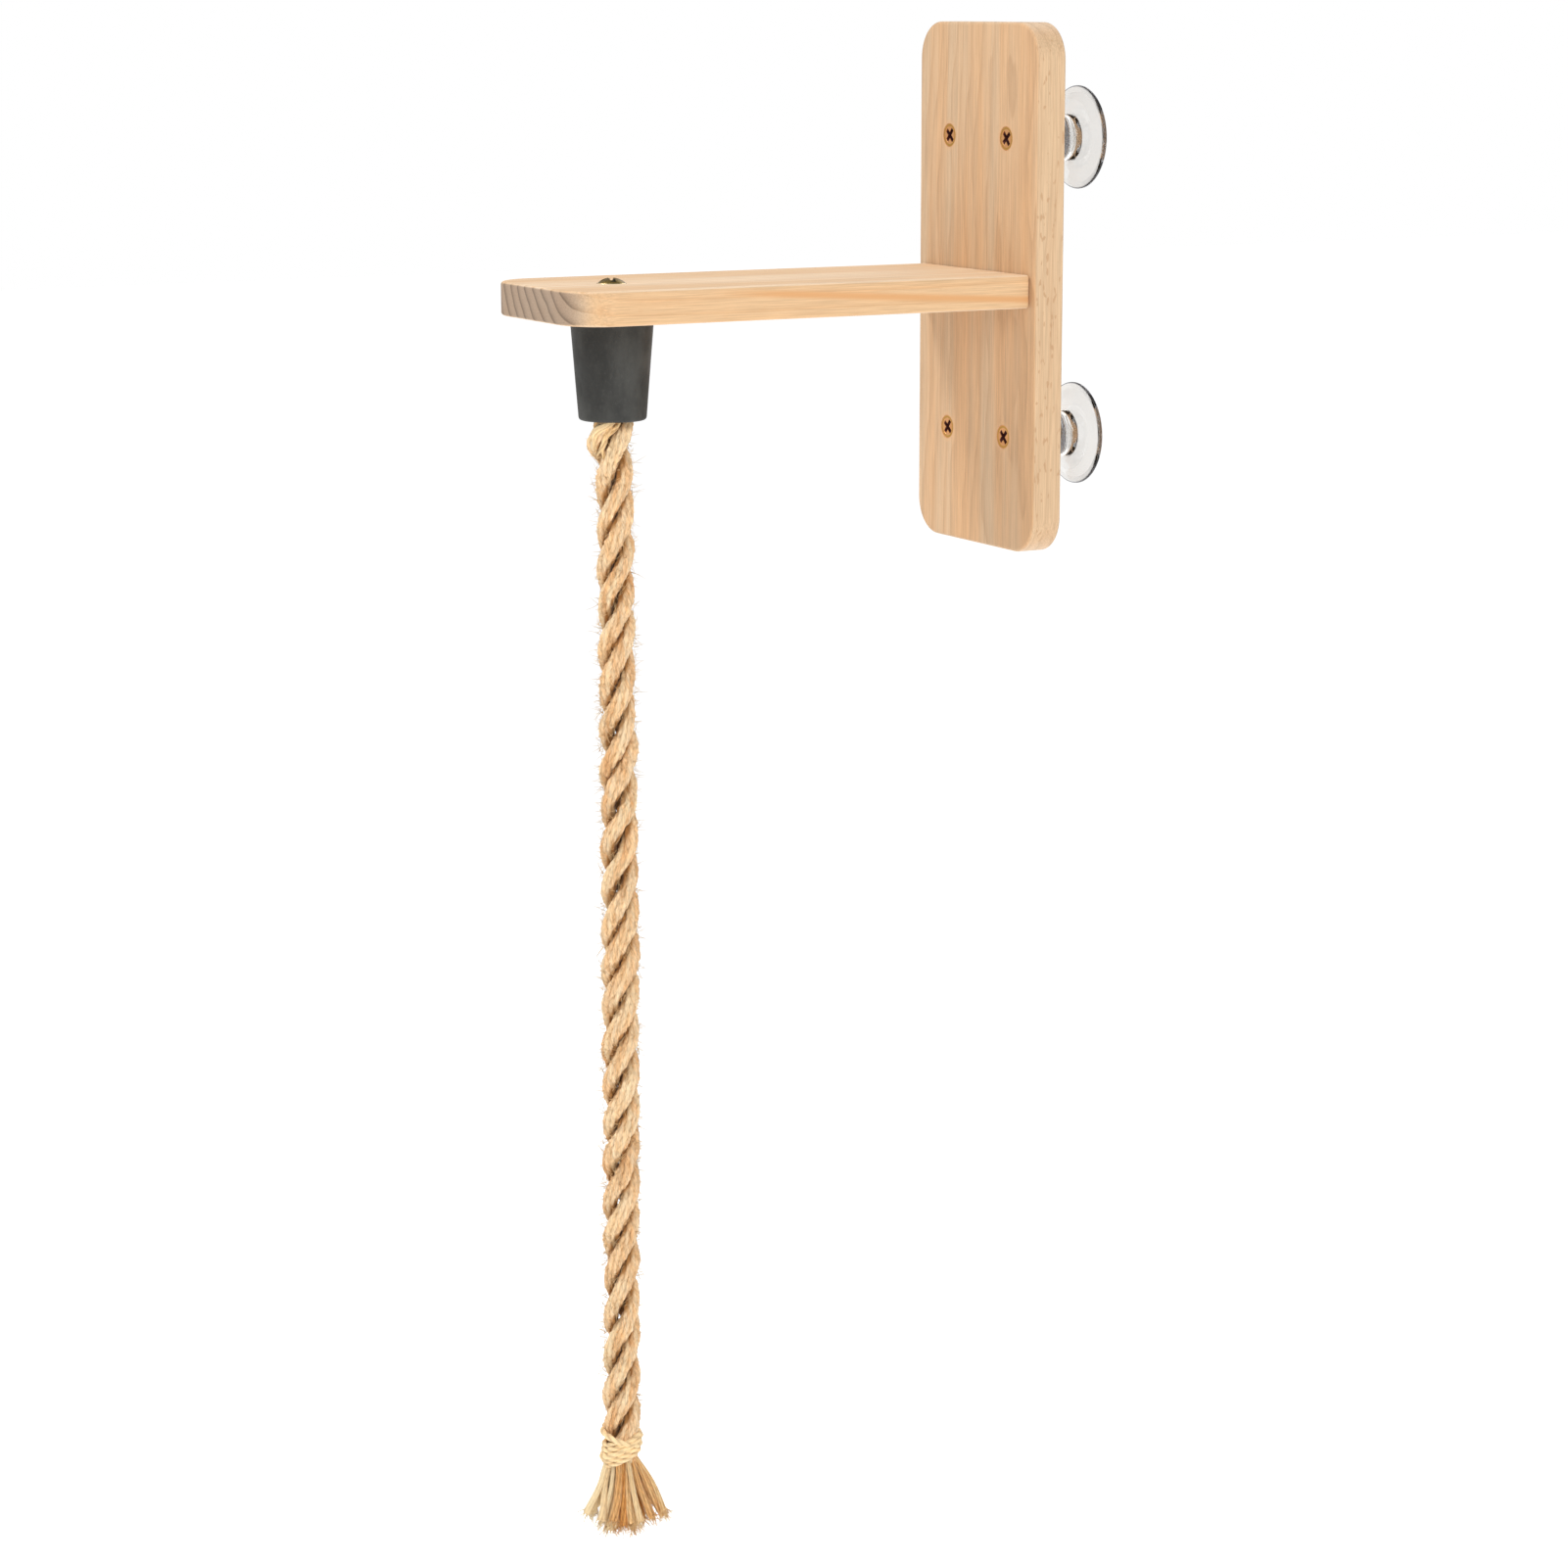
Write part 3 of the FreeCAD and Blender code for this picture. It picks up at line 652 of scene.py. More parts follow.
def plated_material(name, colour, recess_shade_colour, roughness, flat_face=None, crown=None,
                    rim=None):
    """Plated steel with smudges, fine specks, and painted shade in the recess: the share of
    painted shade grows with depth below the head's face. flat_face is the face's y, for heads
    that look away from the glass; crown is the centre and radius of a domed face, the height at
    which its painted dark reflection starts, and that reflection's colour. rim is the x and z of
    the heads either side of the middle, and the radii at which a painted shade ring, for the gap
    round each head, starts and ends."""
    material, s, shader = material_sheet(name)
    where = s.place()
    _, y, z = s.parts(where)
    mark = s.use("handling", {"Vector": where, "Scale": 180.0})
    shade = s.mix(s.times(mark["Smudge"], 0.35), rgba(colour), rgba(colour, 0.72))
    if crown:
        middle, radius, dark_reflection_z, dark_reflection = crown
        reach = s.node("ShaderNodeVectorMath", {0: where, 1: middle}, operation="DISTANCE")
        depth = s.minus(radius, reach.outputs["Value"])
        # painted reflection: high on the dome the colour turns to the dark of the surroundings it
        # mirrors
        shade = s.mix(s.ramp(z, dark_reflection_z, dark_reflection_z + 0.0004), shade, rgba(dark_reflection))
    else:
        depth = s.minus(y, flat_face)
    if rim:
        off = s.from_fixings(where, rim[:2])
        # painted shade: a darker ring for the gap round each countersunk nut head
        ring = s.times(s.ramp(off, rim[2], rim[2] + 0.0003),
                       s.ramp(off, rim[3], rim[3] + 0.0004, 1.0, 0.0))
        gap_shade_colour = (0.50, 0.27, 0.05, 1.0)
        shade = s.mix(s.times(ring, 0.9), shade, gap_shade_colour)
    # painted shade: the recess gets darker, rougher and less metallic with depth, for the shade
    # inside it
    recess_shade = s.ramp(depth, 0.00004, 0.0004)
    rough = s.plus(s.times(mark["Smudge"], 0.16), s.times(mark["Speck"], 0.08))
    rough = s.plus(s.plus(rough, roughness), s.times(recess_shade, 0.3), clamp=True)
    s.feed(shader, {
        "Base Color": s.mix(recess_shade, shade, rgba(recess_shade_colour)), "Roughness": rough,
        "Metallic": s.minus(1.0, s.times(recess_shade, 0.75)),
        "Normal": s.bump(mark["Speck"], 0.15, 0.0002)})
    return material


def zinc_material(colours):
    """Bright zinc plate, slightly blue, brushed by handling."""
    material, s, shader = material_sheet("zinc_plate")
    mark = s.use("handling", {"Vector": s.place(), "Scale": 220.0})
    s.feed(shader, {
        "Base Color": s.mix(s.times(mark["Smudge"], 0.5), rgba(colours.zinc),
                            rgba(colours.zinc, 0.6)),
        "Roughness": s.plus(0.2, s.times(mark["Smudge"], 0.18)),
        "Normal": s.bump(mark["Speck"], 0.12, 0.0002), "Metallic": 1.0})
    return material


def cup_material(colours, axes, rim):
    """Soft clear plastic: full transmission, a warm grey tint, finger smudges, and an outer
    edge painted darker, as painted shade for the edge that is seen through its whole width."""
    material, s, shader = material_sheet("clear_plastic")
    where = s.place()
    smudge = s.use("handling", {"Vector": where, "Scale": 60.0})["Smudge"]
    clear = s.mix(smudge, rgba(colours.cup_tint), rgba(colours.cup_tint, 0.97))
    # painted shade along the cup's outer edge
    edge = s.ramp(s.from_fixings(where, axes), rim - 0.0009, rim - 0.0004)
    s.feed(shader, {
        "Base Color": s.mix(edge, clear, rgba(colours.cup_rim_shade)),
        "Roughness": s.ramp(smudge, 0.0, 1.0, 0.03, 0.10),
        "Normal": s.bump(smudge, 0.10, 0.0004), "Transmission Weight": 1.0, "IOR": 1.43})
    return material


def rubber_material(colours):
    """Matt moulded rubber: charcoal with soft paler bloom and a fine pebbled skin."""
    material, s, shader = material_sheet("moulded_rubber")
    where = s.place()
    mark = s.use("handling", {"Vector": where, "Scale": 42.0})
    bloom = s.ramp(s.noise(where, (60.0, 60.0, 30.0), 4.0, 0.6), 0.34, 0.72)
    colour = s.mix(bloom, rgba(colours.rubber, 0.72), rgba(colours.rubber, 1.75))
    s.feed(shader, {
        "Base Color": s.mix(s.times(mark["Speck"], 0.12), colour, rgba(colours.rubber, 3.0)),
        "Roughness": s.ramp(mark["Smudge"], 0.0, 1.0, 0.52, 0.70),
        "Normal": s.bump(s.noise(where, 1400.0, 2.0, 0.5), 0.25, 0.0003),
        "Specular IOR Level": 0.35})
    return material


# ---------------------------------------------------------------- rope shapes

def rope_centreline(step=0.0008):
    """Evenly spaced points on the rope's own line, and how far each is past the mouth: the
    NURBS spline through the route, carried straight on inside the socket and through the
    whipping."""
    curve = bpy.data.curves.new("rope_line", "CURVE")
    curve.dimensions = "3D"
    spline = curve.splines.new("NURBS")
    points = [MOUTH + Vector((0, 0, ROPE_INSIDE)), MOUTH]
    points += [MOUTH + Vector((x, y, -drop)) for x, y, drop in ROPE_ROUTE]
    points.append(points[-1] + (points[-1] - points[-2]).normalized() * WHIPPING_LENGTH)
    spline.points.add(len(points) - 1)
    for point, place in zip(spline.points, points):
        point.co = (*place, 1.0)
    spline.order_u = 3
    spline.use_endpoint_u = True
    spline.resolution_u = 64
    holder = bpy.data.objects.new("rope_line", curve)
    bpy.context.scene.collection.objects.link(holder)
    bpy.context.view_layer.update()
    mesh = bpy.data.meshes.new_from_object(holder)
    line = np.zeros(len(mesh.vertices) * 3)
    mesh.vertices.foreach_get("co", line)
    line = line.reshape(-1, 3)
    bpy.data.objects.remove(holder)
    bpy.data.meshes.remove(mesh)
    bpy.data.curves.remove(curve)
    run = run_length(line)
    even = np.linspace(0, run[-1], int(round(run[-1] / step)) + 1)
    line = np.stack([np.interp(even, run, line[:, k]) for k in range(3)], -1)
    return line, even - ROPE_INSIDE


def lay_turn(drop, sizes):
    """Turn of the first strand's centre round the rope, one full turn for each lay length."""
    return SET_OUT + 2 * np.pi * (drop - SET_OUT_DROP) / sizes.lay_length


def strand(line, drop, index, sizes, rng):
    """One strand of the rope. Its centre circles the rope's line once per lay length; round that
    centre the surface is a ring of yarns, each an arc of a circle of its own, which turn back
    against the lay. Fewer points lie on the side that faces the rope's heart."""
    _, across, other = along_path(line)
    rows = len(line)
    sway = smooth_random(rng, rows, 22)[0] * 0.17
    turn = lay_turn(drop, sizes) + 2 * np.pi * index / 3 + sway
    tight = 1 - 0.10 * eased((drop - BOUND_DROP) / BOUND_OVER)
    reach = sizes.strand_centre * tight * (1 + 0.05 * smooth_random(rng, rows, 28)[0])
    if index == 0:   # the first strand stands out where it leaves the mouth
        reach = reach + 0.0034 * np.exp(-((drop - 0.0105) / 0.0062) ** 2)
    out = around(turn, across, other)
    centre = line + reach[:, None] * out
    heading = unit(np.gradient(centre, axis=0))
    first = unit(out - heading * np.sum(out * heading, 1)[:, None])
    second = np.cross(heading, first)

    count = sizes.yarn_count
    open_side = np.radians(np.linspace(-122, 122, 40))
    heart_side = np.radians(np.linspace(132, 228, 6))
    angle = np.concatenate([open_side, heart_side])
    yarn_turn = (sizes.yarn_lean * (drop / MM) + 0.25 * smooth_random(rng, rows, 18)[0]
                 + 2.1 * index)[:, None]
    lobe = (angle[None] - yarn_turn) * count / (2 * np.pi)
    which = np.mod(np.round(lobe), count).astype(int), np.arange(rows)[:, None]
    inside = (lobe - np.round(lobe)) * 2 * np.pi / count
    ring = sizes.strand_radius * (1 - YARN_SHARE)
    thick = sizes.strand_radius * YARN_SHARE
    arc = ring * np.cos(inside) + np.sqrt(np.maximum(
        thick ** 2 - (ring * np.sin(inside)) ** 2, 0))
    uneven = smooth_random(rng, rows, 60, count)[which]
    girth = 1 + 0.095 * smooth_random(rng, rows, 32)[0]
    rough = rng.normal(size=(rows, len(angle)))
    rough = (rough + np.roll(rough, 1, 0) + np.roll(rough, -1, 0) + np.roll(rough, 1, 1)) / 2
    radius = (arc + 0.00046 * uneven + 0.00020 * rough) * (girth * tight)[:, None]
    rings = centre[:, None] + radius[..., None] * around(angle[None], first[:, None],
                                                         second[:, None])
    low = ring * math.cos(math.pi / count)
    # painted shade: the grooves between the yarns and the side of a strand that faces the others
    # are darkened in colour for their shade
    yarn_groove_shade = np.clip(1 - (arc - low) / (sizes.strand_radius - low), 0, 1) ** 2
    between_strands_shade = eased((0.42 - np.cos(angle)) / 0.62)[None]
    tone = 0.55 * smooth_random(rng, rows, 24, count)[which]
    edges = np.append(angle, angle[0] + 2 * np.pi)
    u_edges = (edges[None] - yarn_turn) * count / (2 * np.pi) + 17 * index
    return rings, centre[[0, -1]], u_edges, drop / MM, {
        "groove_shade": np.maximum(0.60 * yarn_groove_shade, between_strands_shade), "tone": tone}


def whipping_wraps(foot, down, sizes):
    """Binding yarn: tilted coils that circle the foot of the rope, and a crossing coil on top.
    Each coil is a circle round the rope whose height swings once per turn, plus a steady rise."""
    side = unit(X_AXIS - down * down[0])
    other = np.cross(down, side)
    core = 0.0079 + 0.1 * sizes.wrap_radius
    coils = []
    # tilt is how far the height swings, over_core the distance outside the bound strands, and
    # share the coil's radius as a share of the yarn's
    for turns, start_depth, pitch, tilt, over_core, phase, share in (
            (4.15, 0.0050, 0.0027, 0.0036, 0.0004, 0.6, 1.0),
            (1.25, 0.0040, 0.0020, -0.0036, 0.0010, 2.2, 0.95),
            (1.10, 0.0096, 0.0015, 0.0052, 0.0015, 4.4, 0.9)):
        angle = np.linspace(0, turns * 2 * np.pi, int(turns * 70)) + phase
        depth = (start_depth + pitch * (angle - phase) / (2 * np.pi)
                 + tilt * np.cos(angle - SET_OUT))
        path = foot + depth[:, None] * down + (core + over_core) * around(angle, side, other)
        ends = np.sin(np.linspace(0, np.pi, len(path))) ** 0.12
        coils.append(tube_along(path, sizes.wrap_radius * share * np.maximum(ends, 0.35), 18,
                                0.32, 2, turns * 5.5, reference=down, tone=0.55))
    return coils


def tassel_bunches(top, down, sizes, rng):
    """Yarn bunches that fan out below the whipping, spread as sunflower seeds are. A bunch's
    distance from the axis grows as a power of the way down, the outer ones curl outwards, and
    each ends in a spray of fine tapering fibres."""
    side = unit(X_AXIS - down * down[0])
    other = np.cross(down, side)
    count = sizes.tassel_bunches
    golden = math.pi * (3 - math.sqrt(5))
    shares = np.sqrt((np.arange(count) + 0.5) / count)
    turns = np.arange(count) * golden + rng.uniform(-0.2, 0.2, count)
    way = np.linspace(0, 1, 26)
    bunches, sprays = [], []
    for share, turn in zip(shares, turns):
        out = around(turn, side, other)
        across = np.cross(down, out)
        aside = float(out @ SHADED_SIDE_OF_TASSEL)
        reach = TASSEL_LENGTH - 0.0075 * share ** 2 + rng.uniform(-0.0022, 0.0022)
        spread = (TASSEL_SPREAD + rng.uniform(-0.0026, 0.0026)) * share * (1 + 0.28 * aside)
        radius = TASSEL_TOP_RADIUS * share + spread * way ** 0.82
        curl = rng.uniform(-0.0026, 0.0026) * np.sin(way * math.pi * rng.uniform(0.6, 1.7))
        depth = -0.003 + (reach + 0.003) * way - 0.0026 * share * way ** 4
        path = top + depth[:, None] * down + radius[:, None] * out + curl[:, None] * across
        thick = sizes.bunch_radius * (0.74 + 0.42 * way) * rng.uniform(0.62, 1.10)
        # painted light and shade: bunches on the side away from the key light, the inner ones and
        # those edge-on in the middle get a browner tone, and the lit side a paler one
        heart = np.clip((0.62 - share) / 0.2, 0, 1)
        shaded = abs(aside - 0.05) < 0.24
        tone = np.clip(0.40 - 0.6 * aside + rng.uniform(-0.4, 0.4) - heart - 0.9 * shaded,
                       -1.0, 1.0)
        bunches.append(tube_along(path, thick, 18, 0.24, 6, rng.uniform(0.1, 0.5), 0.82,
                                  across, tone))
        heading = unit(path[-1] - path[-4])
        for _ in range(FIBRES_PER_BUNCH):
            start_turn = rng.uniform(0, 2 * math.pi)
            ring = thick[-1] * math.sqrt(rng.uniform(0.02, 0.9))
            start = path[-1] - heading * 0.0016 + ring * around(
                start_turn, across, np.cross(heading, across))
            aim = unit(heading + 0.34 * rng.normal(size=3))
            fibre = curved_fibre(start, aim, rng.uniform(0.003, 0.0072), 6, 0.0012, rng)
            fibre[:, 2] = np.maximum(fibre[:, 2], TASSEL_BOX[0].z - 0.003)
            sprays.append(tube_along(fibre, np.linspace(0.00030, 0.00008, 6), 4,
                                     reference=unit(np.cross(aim, side)), tone=tone))
    return bunches + sprays


def curved_fibre(start, aim, reach, rows, bend, rng):
    """Path of a loose fibre: straight along its aim, plus a random bend that grows as the
    square of the way."""
    way = np.linspace(0, 1, rows)[:, None]
    return start + aim * reach * way + bend * rng.normal(size=3) * way ** 2


def mouth_yarns(line, drop, sizes, rng):
    """Yarns that have worked loose under the mouth: each follows the first strand's helix for
    part of a turn, and stands off the rope by a bump that is a cosine wave along its length."""
    _, across, other = along_path(line)
    yarns = []
    # lean is the turn from the strand's middle, stand the bump's height, first and last the
    # rows of the rope's line between which the yarn lies
    for lean, stand, first, last in ((-0.62, 0.0016, 6, 36), (-0.30, 0.0040, 2, 38),
                                     (0.05, 0.0050, 4, 33), (0.34, 0.0038, 8, 41),
                                     (0.66, 0.0020, 10, 38), (1.05, 0.0012, 4, 31),
                                     (-0.95, 0.0008, 8, 36)):
        rows = np.arange(first, last)
        way = np.linspace(0, 1, len(rows))
        turn = (lay_turn(drop[rows], sizes) + lean * (0.5 + 0.8 * way)
                + 0.28 * smooth_random(rng, len(rows), 4)[0])
        bump = (1 - np.cos(2 * np.pi * way ** 0.95)) / 2
        reach = 0.0062 + 0.0012 * way + stand * bump
        path = line[rows] + reach[:, None] * around(turn, across[rows], other[rows])
        thick = 0.00145 * (0.35 + 0.65 * np.sin(np.pi * np.clip(way, 0.02, 0.98)) ** 0.5)
        yarns.append(tube_along(path, thick, 12, 0.25, 3, 1.3, tone=rng.uniform(-0.2, 0.6)))
    return yarns


def loose_fibres(line, sizes, rng):
    """Fine fibres that stand off the rope: short curved tapering hairs, each from the rope's
    skin, leaning along the lay."""
    tangent, across, other = along_path(line)
    hairs = []
    for _ in range(sizes.hair_count):
        row = int(rng.integers(20, len(line) - 30))
        out = around(rng.uniform(0, 2 * math.pi), across[row], other[row])
        round_it = np.cross(tangent[row], out)
        start = line[row] + out * rng.uniform(0.0070, 0.0086)
        aim = unit(out * rng.uniform(0.25, 0.9) + round_it * rng.uniform(-0.2, 0.9)
                   + tangent[row] * rng.uniform(-1.0, 1.0))
        hair = curved_fibre(start, aim, rng.uniform(0.0020, 0.0055), 5, 0.0016, rng)
        hairs.append(tube_along(hair, np.linspace(0.00017, 0.00005, 5), 3,
                                reference=unit(np.cross(aim, out) + 1e-6)))
    return hairs


# ---------------------------------------------------------------- operators

def finish_node(name, material):
    """Gives a CAD node that stays its material."""
    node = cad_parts[name]
    node.data.materials.clear()
    node.data.materials.append(material)


def box_middle(name):
    """Middle of a node's box across and in height, and its half width."""
    low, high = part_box(name)
    return (low.x + high.x) / 2, (low.z + high.z) / 2, (high.x - low.x) / 2


class PERCH_OT_groups(Operator):
    """Make the shared shader groups"""
    bl_idname = "perch.groups"
    bl_label = "Shader groups"

    def execute(self, context):
        pine_group()
        wear_group()
        fibre_group()
        return {"FINISHED"}


class PERCH_OT_boards(Operator):
    """Finish the back board and the shelf in oiled pine"""
    bl_idname = "perch.boards"
    bl_label = "Board and shelf"

    def execute(self, context):
        colours = context.scene.perch_colours
        nuts = tuple(place / MM for place in box_middle("cup_nut_upper_right")[:2])
        board = pine_material(
            "board_pine", (colours.board_early, colours.board_warm, colours.board_late,
                           colours.board_edge_and_light, colours.board_end),
            turn=(0, 0, 0), pith=(-38.0, -40.0, 0.0), ring_width=5.0, wander=6.0,
            end_lines=0.5, flecks=0.7, nuts=nuts)
        shelf = pine_material(
            "shelf_pine", (colours.shelf_early, colours.shelf_warm, colours.shelf_late,
                           colours.shelf_edge, colours.end_grain),
            turn=(math.radians(-90), 0, 0), pith=(-60.0, -40.0, 0.0), ring_width=7.4,
            wander=2.0, end_lines=1.7, flecks=0.1, seam=(6.2, -222.0, -170.0, 0.055))
        finish_node("back_board", board)
        finish_node("shelf", shelf)
        return {"FINISHED"}


class PERCH_OT_fasteners(Operator):
    """Finish the nuts, screws and studs in plated steel"""
    bl_idname = "perch.fasteners"
    bl_label = "Fasteners"

    def execute(self, context):
        colours = context.scene.perch_colours
        # painted shade colours for the recesses of the nuts and of the rope screw
        nut_recess_shade, screw_recess_shade = (0.065, 0.008, 0.006), (0.035, 0.028, 0.010)
        # radii of the painted shade ring for the gap round each nut head
        gap_shade_inner, gap_shade_outer = 0.0043, 0.0052
        nuts = plated_material(
            "nut_plate_and_wood_reflection", colours.nut_plate_and_wood_reflection, nut_recess_shade, 0.34,
            flat_face=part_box("cup_nut_upper_left")[0].y,
            rim=(*box_middle("cup_nut_upper_right")[:2], gap_shade_inner, gap_shade_outer))
        crown_rise = 0.0030
        head_radius = box_middle("rope_screw")[2]
        head_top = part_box("rope_screw")[1].z
        ball = (head_radius ** 2 + crown_rise ** 2) / (2 * crown_rise)
        screw = plated_material(
            "rope_screw_plate", colours.brass, screw_recess_shade, 0.24,
            crown=((0, ROPE_Y, head_top - ball), ball, head_top - 0.85 * crown_rise,
                   colours.crown_dark_reflection))
        zinc = zinc_material(colours)
        finish_node("rope_screw", screw)
        for name in ("anchor_nut", "shelf_screw_left", "shelf_screw_right"):
            finish_node(name, zinc)
        for name in CUP_NAMES:
            finish_node("cup_nut_" + name, nuts)
            finish_node("cup_stud_" + name, zinc)
        return {"FINISHED"}


class PERCH_OT_cups(Operator):
    """Build the four clear suction cups"""
    bl_idname = "perch.cups"
    bl_label = "Suction cups"

    def execute(self, context):
        x, z, rim = box_middle("suction_cup_upper_right")
        material = cup_material(context.scene.perch_colours, (x, z), rim)
        for name in CUP_NAMES:
            low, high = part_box("suction_cup_" + name)
            x, z, rim = box_middle("suction_cup_" + name)
            depth = high.y - low.y
            # radius, distance from the glass and rounding: the hollow underside, the rim, the
            # upper side, the hub
            corners = [(0, 0.0032, 0), (0.35 * rim, 0.0029, 0.02), (0.64 * rim, 0.0018, 0.02),
                       (rim - 0.0035, 0.0, 0.0004), (rim, 0.0, 0.00055),
                       (rim, 0.0014, 0.00055), (rim * 0.95, 0.0019, 0.003),
                       (rim * 0.74, 0.0036, 0.02),
                       (0.0128, 0.0066, 0.004), (0.0109, 0.0080, 0.0018),
                       (0.0100, depth - 0.0040, 0.006), (0.0095, depth, 0.0008),
                       (0, depth, 0)]
            piece = lathe("cup_" + name, material, finer(rounded_profile(corners)),
                          (x, high.y, z), (0, -1, 0), context.scene.perch_sizes.cup_segments)
            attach(piece, "bracket")
            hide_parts("suction_cup_" + name)
        return {"FINISHED"}


class PERCH_OT_socket(Operator):
    """Build the tapered rubber socket and the held end of the rope inside it"""
    bl_idname = "perch.socket"
    bl_label = "Rubber socket"

    def execute(self, context):
        low, high = SOCKET_BOX
        top = (high.x - low.x) / 2
        height = high.z - low.z
        mouth = top - 0.0038
        bore = mouth - 0.0070
        # the top, the tapered side, the mouth, the bore and its floor
        corners = [(0.0030, 0.0, 0), (top, 0.0, 0.0012), (mouth, height, 0.0016),
                   (bore + 0.0004, height, 0.0005), (bore, 0.0060, 0.0005), (0.0030, 0.0060, 0)]
        piece = ring_lathe("socket_rubber", rubber_material(context.scene.perch_colours),
                           corners, high.z, 144, 0.0022)
        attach(piece, "socket")
        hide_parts("rubber_socket")

        held_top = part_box("rope_held_end")[1].z
        held_length = held_top - MOUTH.z
        anchor_bore, held_radius = 0.00505, bore - 0.0001
        plug = [(anchor_bore, 0, 0), (held_radius, 0, 0.0003),
                (held_radius, held_length - 0.009, 0.0016),
                (anchor_bore, held_length - 0.0075, 0.001)]
        held = ring_lathe("rope_in_socket", bpy.data.materials["rope_jute"], plug, held_top, 72,
                          0.004)
        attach(held, "socket")
        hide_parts("rope_held_end")
        return {"FINISHED"}


class PERCH_OT_rope(Operator):
    """Build the laid rope, its whipping, its tassel and its loose fibres"""
    bl_idname = "perch.rope"
    bl_label = "Rope"

    def execute(self, context):
        sizes = context.scene.perch_sizes
        colours = context.scene.perch_colours
        rng = np.random.default_rng(7)
        jute = jute_material("rope_jute", colours.jute_light, colours.jute_knots_and_groove_shade)
        loose = jute_material("tassel_jute", colours.tassel_light, colours.jute_knots_and_groove_shade)
        line, drop = rope_centreline()
        strands = [strand(line, drop, index, sizes, rng) for index in range(3)]
        rope = mesh_object("rope_strands", jute, *joined(strands))
        down = unit(line[-1] - line[-20])
        wraps = whipping_wraps(line[-1] - down * WHIPPING_LENGTH, down, sizes)
        whipping = mesh_object("whipping_yarn", loose, *joined(wraps))
        bunches = tassel_bunches(line[-1], down, sizes, rng)
        tassel = mesh_object("tassel_yarns", loose, *joined(bunches))
        fibres = mouth_yarns(line, drop, sizes, rng) + loose_fibres(line, sizes, rng)
        hairs = mesh_object("rope_fibres", loose, *joined(fibres))

        for piece in (rope, hairs):
            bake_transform(piece)
        for piece, node in ((whipping, "rope_whipping"), (tassel, "rope_tassel")):
            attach(piece, "hanging_rope")
            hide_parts(node)
        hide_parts("rope")
        return {"FINISHED"}


def area_light(name, place, aim, size, power, colour=(1.0, 1.0, 1.0)):
    """Square area light at a place, turned to its aim."""
    data = bpy.data.lights.new(name, "AREA")
    data.shape = "SQUARE"
    data.size = size
    data.energy = power
    data.color = colour
    lamp = bpy.data.objects.new(name, data)
    lamp.location = place
    lamp.rotation_euler = (Vector(aim) - Vector(place)).to_track_quat("-Z", "Y").to_euler()
    bpy.context.scene.collection.objects.link(lamp)


def lay_floor():
    """Pale paper floor well below the tassel: a plain square that is clear from underneath."""
    floor_z = ALL_BOX[0].z - 0.30
    half = 12.0
    corners = np.array([(-half, -half, floor_z), (half, -half, floor_z),
                        (half, half, floor_z), (-half, half, floor_z)])
    material, s, shader = material_sheet("floor_paper")
    grain = s.noise(s.place(), 3.0, 3.0, 0.5)
    s.feed(shader, {
        "Base Color": s.mix(grain, rgba((0.83, 0.83, 0.83)), rgba((0.85, 0.85, 0.85))),
        "Emission Color": (1, 1, 1, 1), "Emission Strength": 0.55, "Roughness": 0.9})
    below = s.node("ShaderNodeNewGeometry").outputs["Backfacing"]
    clear = s.node("ShaderNodeBsdfTransparent")
    one_sided = s.node("ShaderNodeMixShader", {0: below, 1: shader.outputs[0],
                                               2: clear.outputs[0]})
    s.feed(s.tree.nodes["Material Output"], {"Surface": one_sided.outputs[0]})
    floor = mesh_object("floor", material, corners, np.array([[0, 1, 2, 3]]), NO_TRIANGLES)


def light_studio(scene):
    """Soft light from all round, which the camera and clear plastic see as full white, and a
    key, a front and a back light."""
    sizes = scene.perch_sizes
    world = bpy.data.worlds.new("studio")
    world.use_nodes = True
    sky = Sheet(world.node_tree)
    rays = sky.node("ShaderNodeLightPath").outputs
    seen = sky.maths("MAXIMUM", rays["Is Camera Ray"], rays["Is Transmission Ray"])
    strength = sky.plus(sizes.ambient, sky.times(seen, 1.0 - sizes.ambient))
    light = sky.node("ShaderNodeBackground", {"Color": (1, 1, 1, 1), "Strength": strength})
    sky.node("ShaderNodeOutputWorld", {"Surface": light.outputs[0]})
    scene.world = world
    scene.view_settings.view_transform = "Standard"
    aim = (0.0, -0.14, -0.12)
    area_light("key", (-0.80, -1.30, 1.60), aim, 0.5, sizes.key_power, (1.0, 0.985, 0.96))
    area_light("front", (2.0, -0.65, 1.0), aim, 1.2, sizes.front_power)
    area_light("back", (-1.0, 1.5, 1.4), aim, 1.2, 0.25 * sizes.key_power)


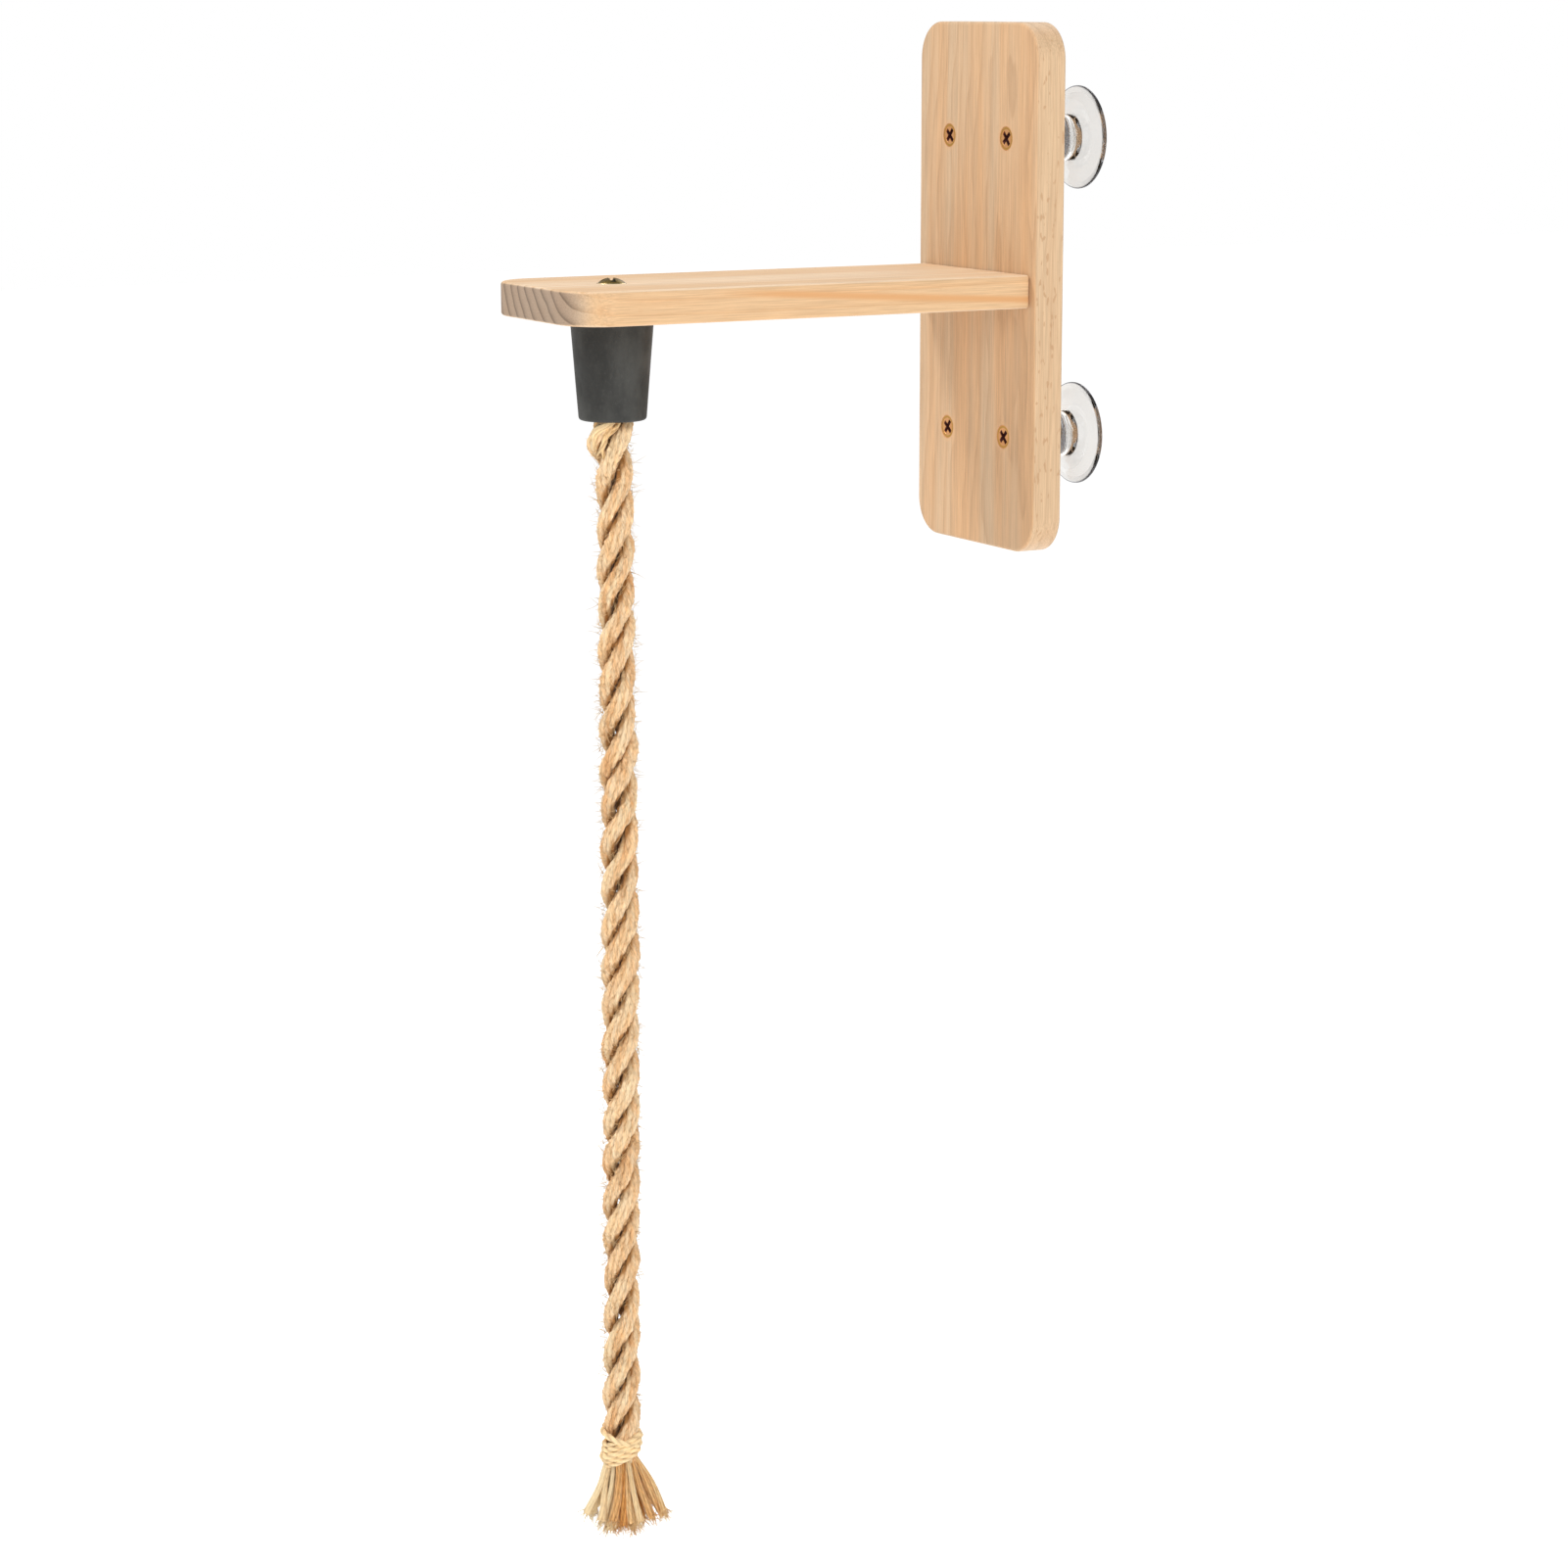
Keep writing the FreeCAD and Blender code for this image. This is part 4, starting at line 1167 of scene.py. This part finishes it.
def place_camera(scene):
    """Camera to the right and a little above, turned by an azimuth and an elevation."""
    data = bpy.data.cameras.new("camera")
    data.sensor_width = 36.0
    data.lens = 88.27
    data.shift_y = -0.05
    data.clip_end = 60.0
    camera = bpy.data.objects.new("camera", data)
    azimuth, elevation = math.radians(61.37), math.radians(10.45)
    ahead = Vector((-math.sin(azimuth) * math.cos(elevation),
                    math.cos(azimuth) * math.cos(elevation), -math.sin(elevation)))
    camera.location = (1.6251, BOARD_BOX[0].y - 0.9951, 0.1401)
    camera.rotation_euler = ahead.to_track_quat("-Z", "Y").to_euler()
    scene.collection.objects.link(camera)
    scene.camera = camera


class PERCH_OT_stage(Operator):
    """Lay the pale floor, set the soft studio lights and place the camera"""
    bl_idname = "perch.stage"
    bl_label = "Floor, lights and camera"

    def execute(self, context):
        lay_floor()
        light_studio(context.scene)
        place_camera(context.scene)
        return {"FINISHED"}


class PERCH_PT_panel(Panel):
    """Sidebar panel with the sizes, the colours and the building steps"""
    bl_idname = "PERCH_PT_panel"
    bl_label = "Climbing Perch"
    bl_space_type = "VIEW_3D"
    bl_region_type = "UI"
    bl_category = "Perch"

    def draw(self, context):
        layout = self.layout
        for group_name in ("perch_sizes", "perch_colours"):
            settings = getattr(context.scene, group_name)
            box = layout.box()
            for key in settings.bl_rna.properties.keys():
                if key not in {"rna_type", "name"}:
                    box.prop(settings, key)
        for operator in STEPS:
            layout.operator(operator.bl_idname)


STEPS = (PERCH_OT_groups, PERCH_OT_boards, PERCH_OT_fasteners, PERCH_OT_cups, PERCH_OT_rope,
         PERCH_OT_socket, PERCH_OT_stage)
CLASSES = (PerchSizes, PerchColours, *STEPS, PERCH_PT_panel)


def register():
    for item in CLASSES:
        bpy.utils.register_class(item)
    bpy.types.Scene.perch_sizes = PointerProperty(type=PerchSizes)
    bpy.types.Scene.perch_colours = PointerProperty(type=PerchColours)


def unregister():
    del bpy.types.Scene.perch_sizes
    del bpy.types.Scene.perch_colours
    for item in reversed(CLASSES):
        bpy.utils.unregister_class(item)


def main():
    """Registers the add-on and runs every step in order."""
    register()
    bpy.ops.perch.groups()
    bpy.ops.perch.boards()
    bpy.ops.perch.fasteners()
    bpy.ops.perch.cups()
    bpy.ops.perch.rope()
    bpy.ops.perch.socket()
    bpy.ops.perch.stage()


if __name__ == "__main__":
    main()
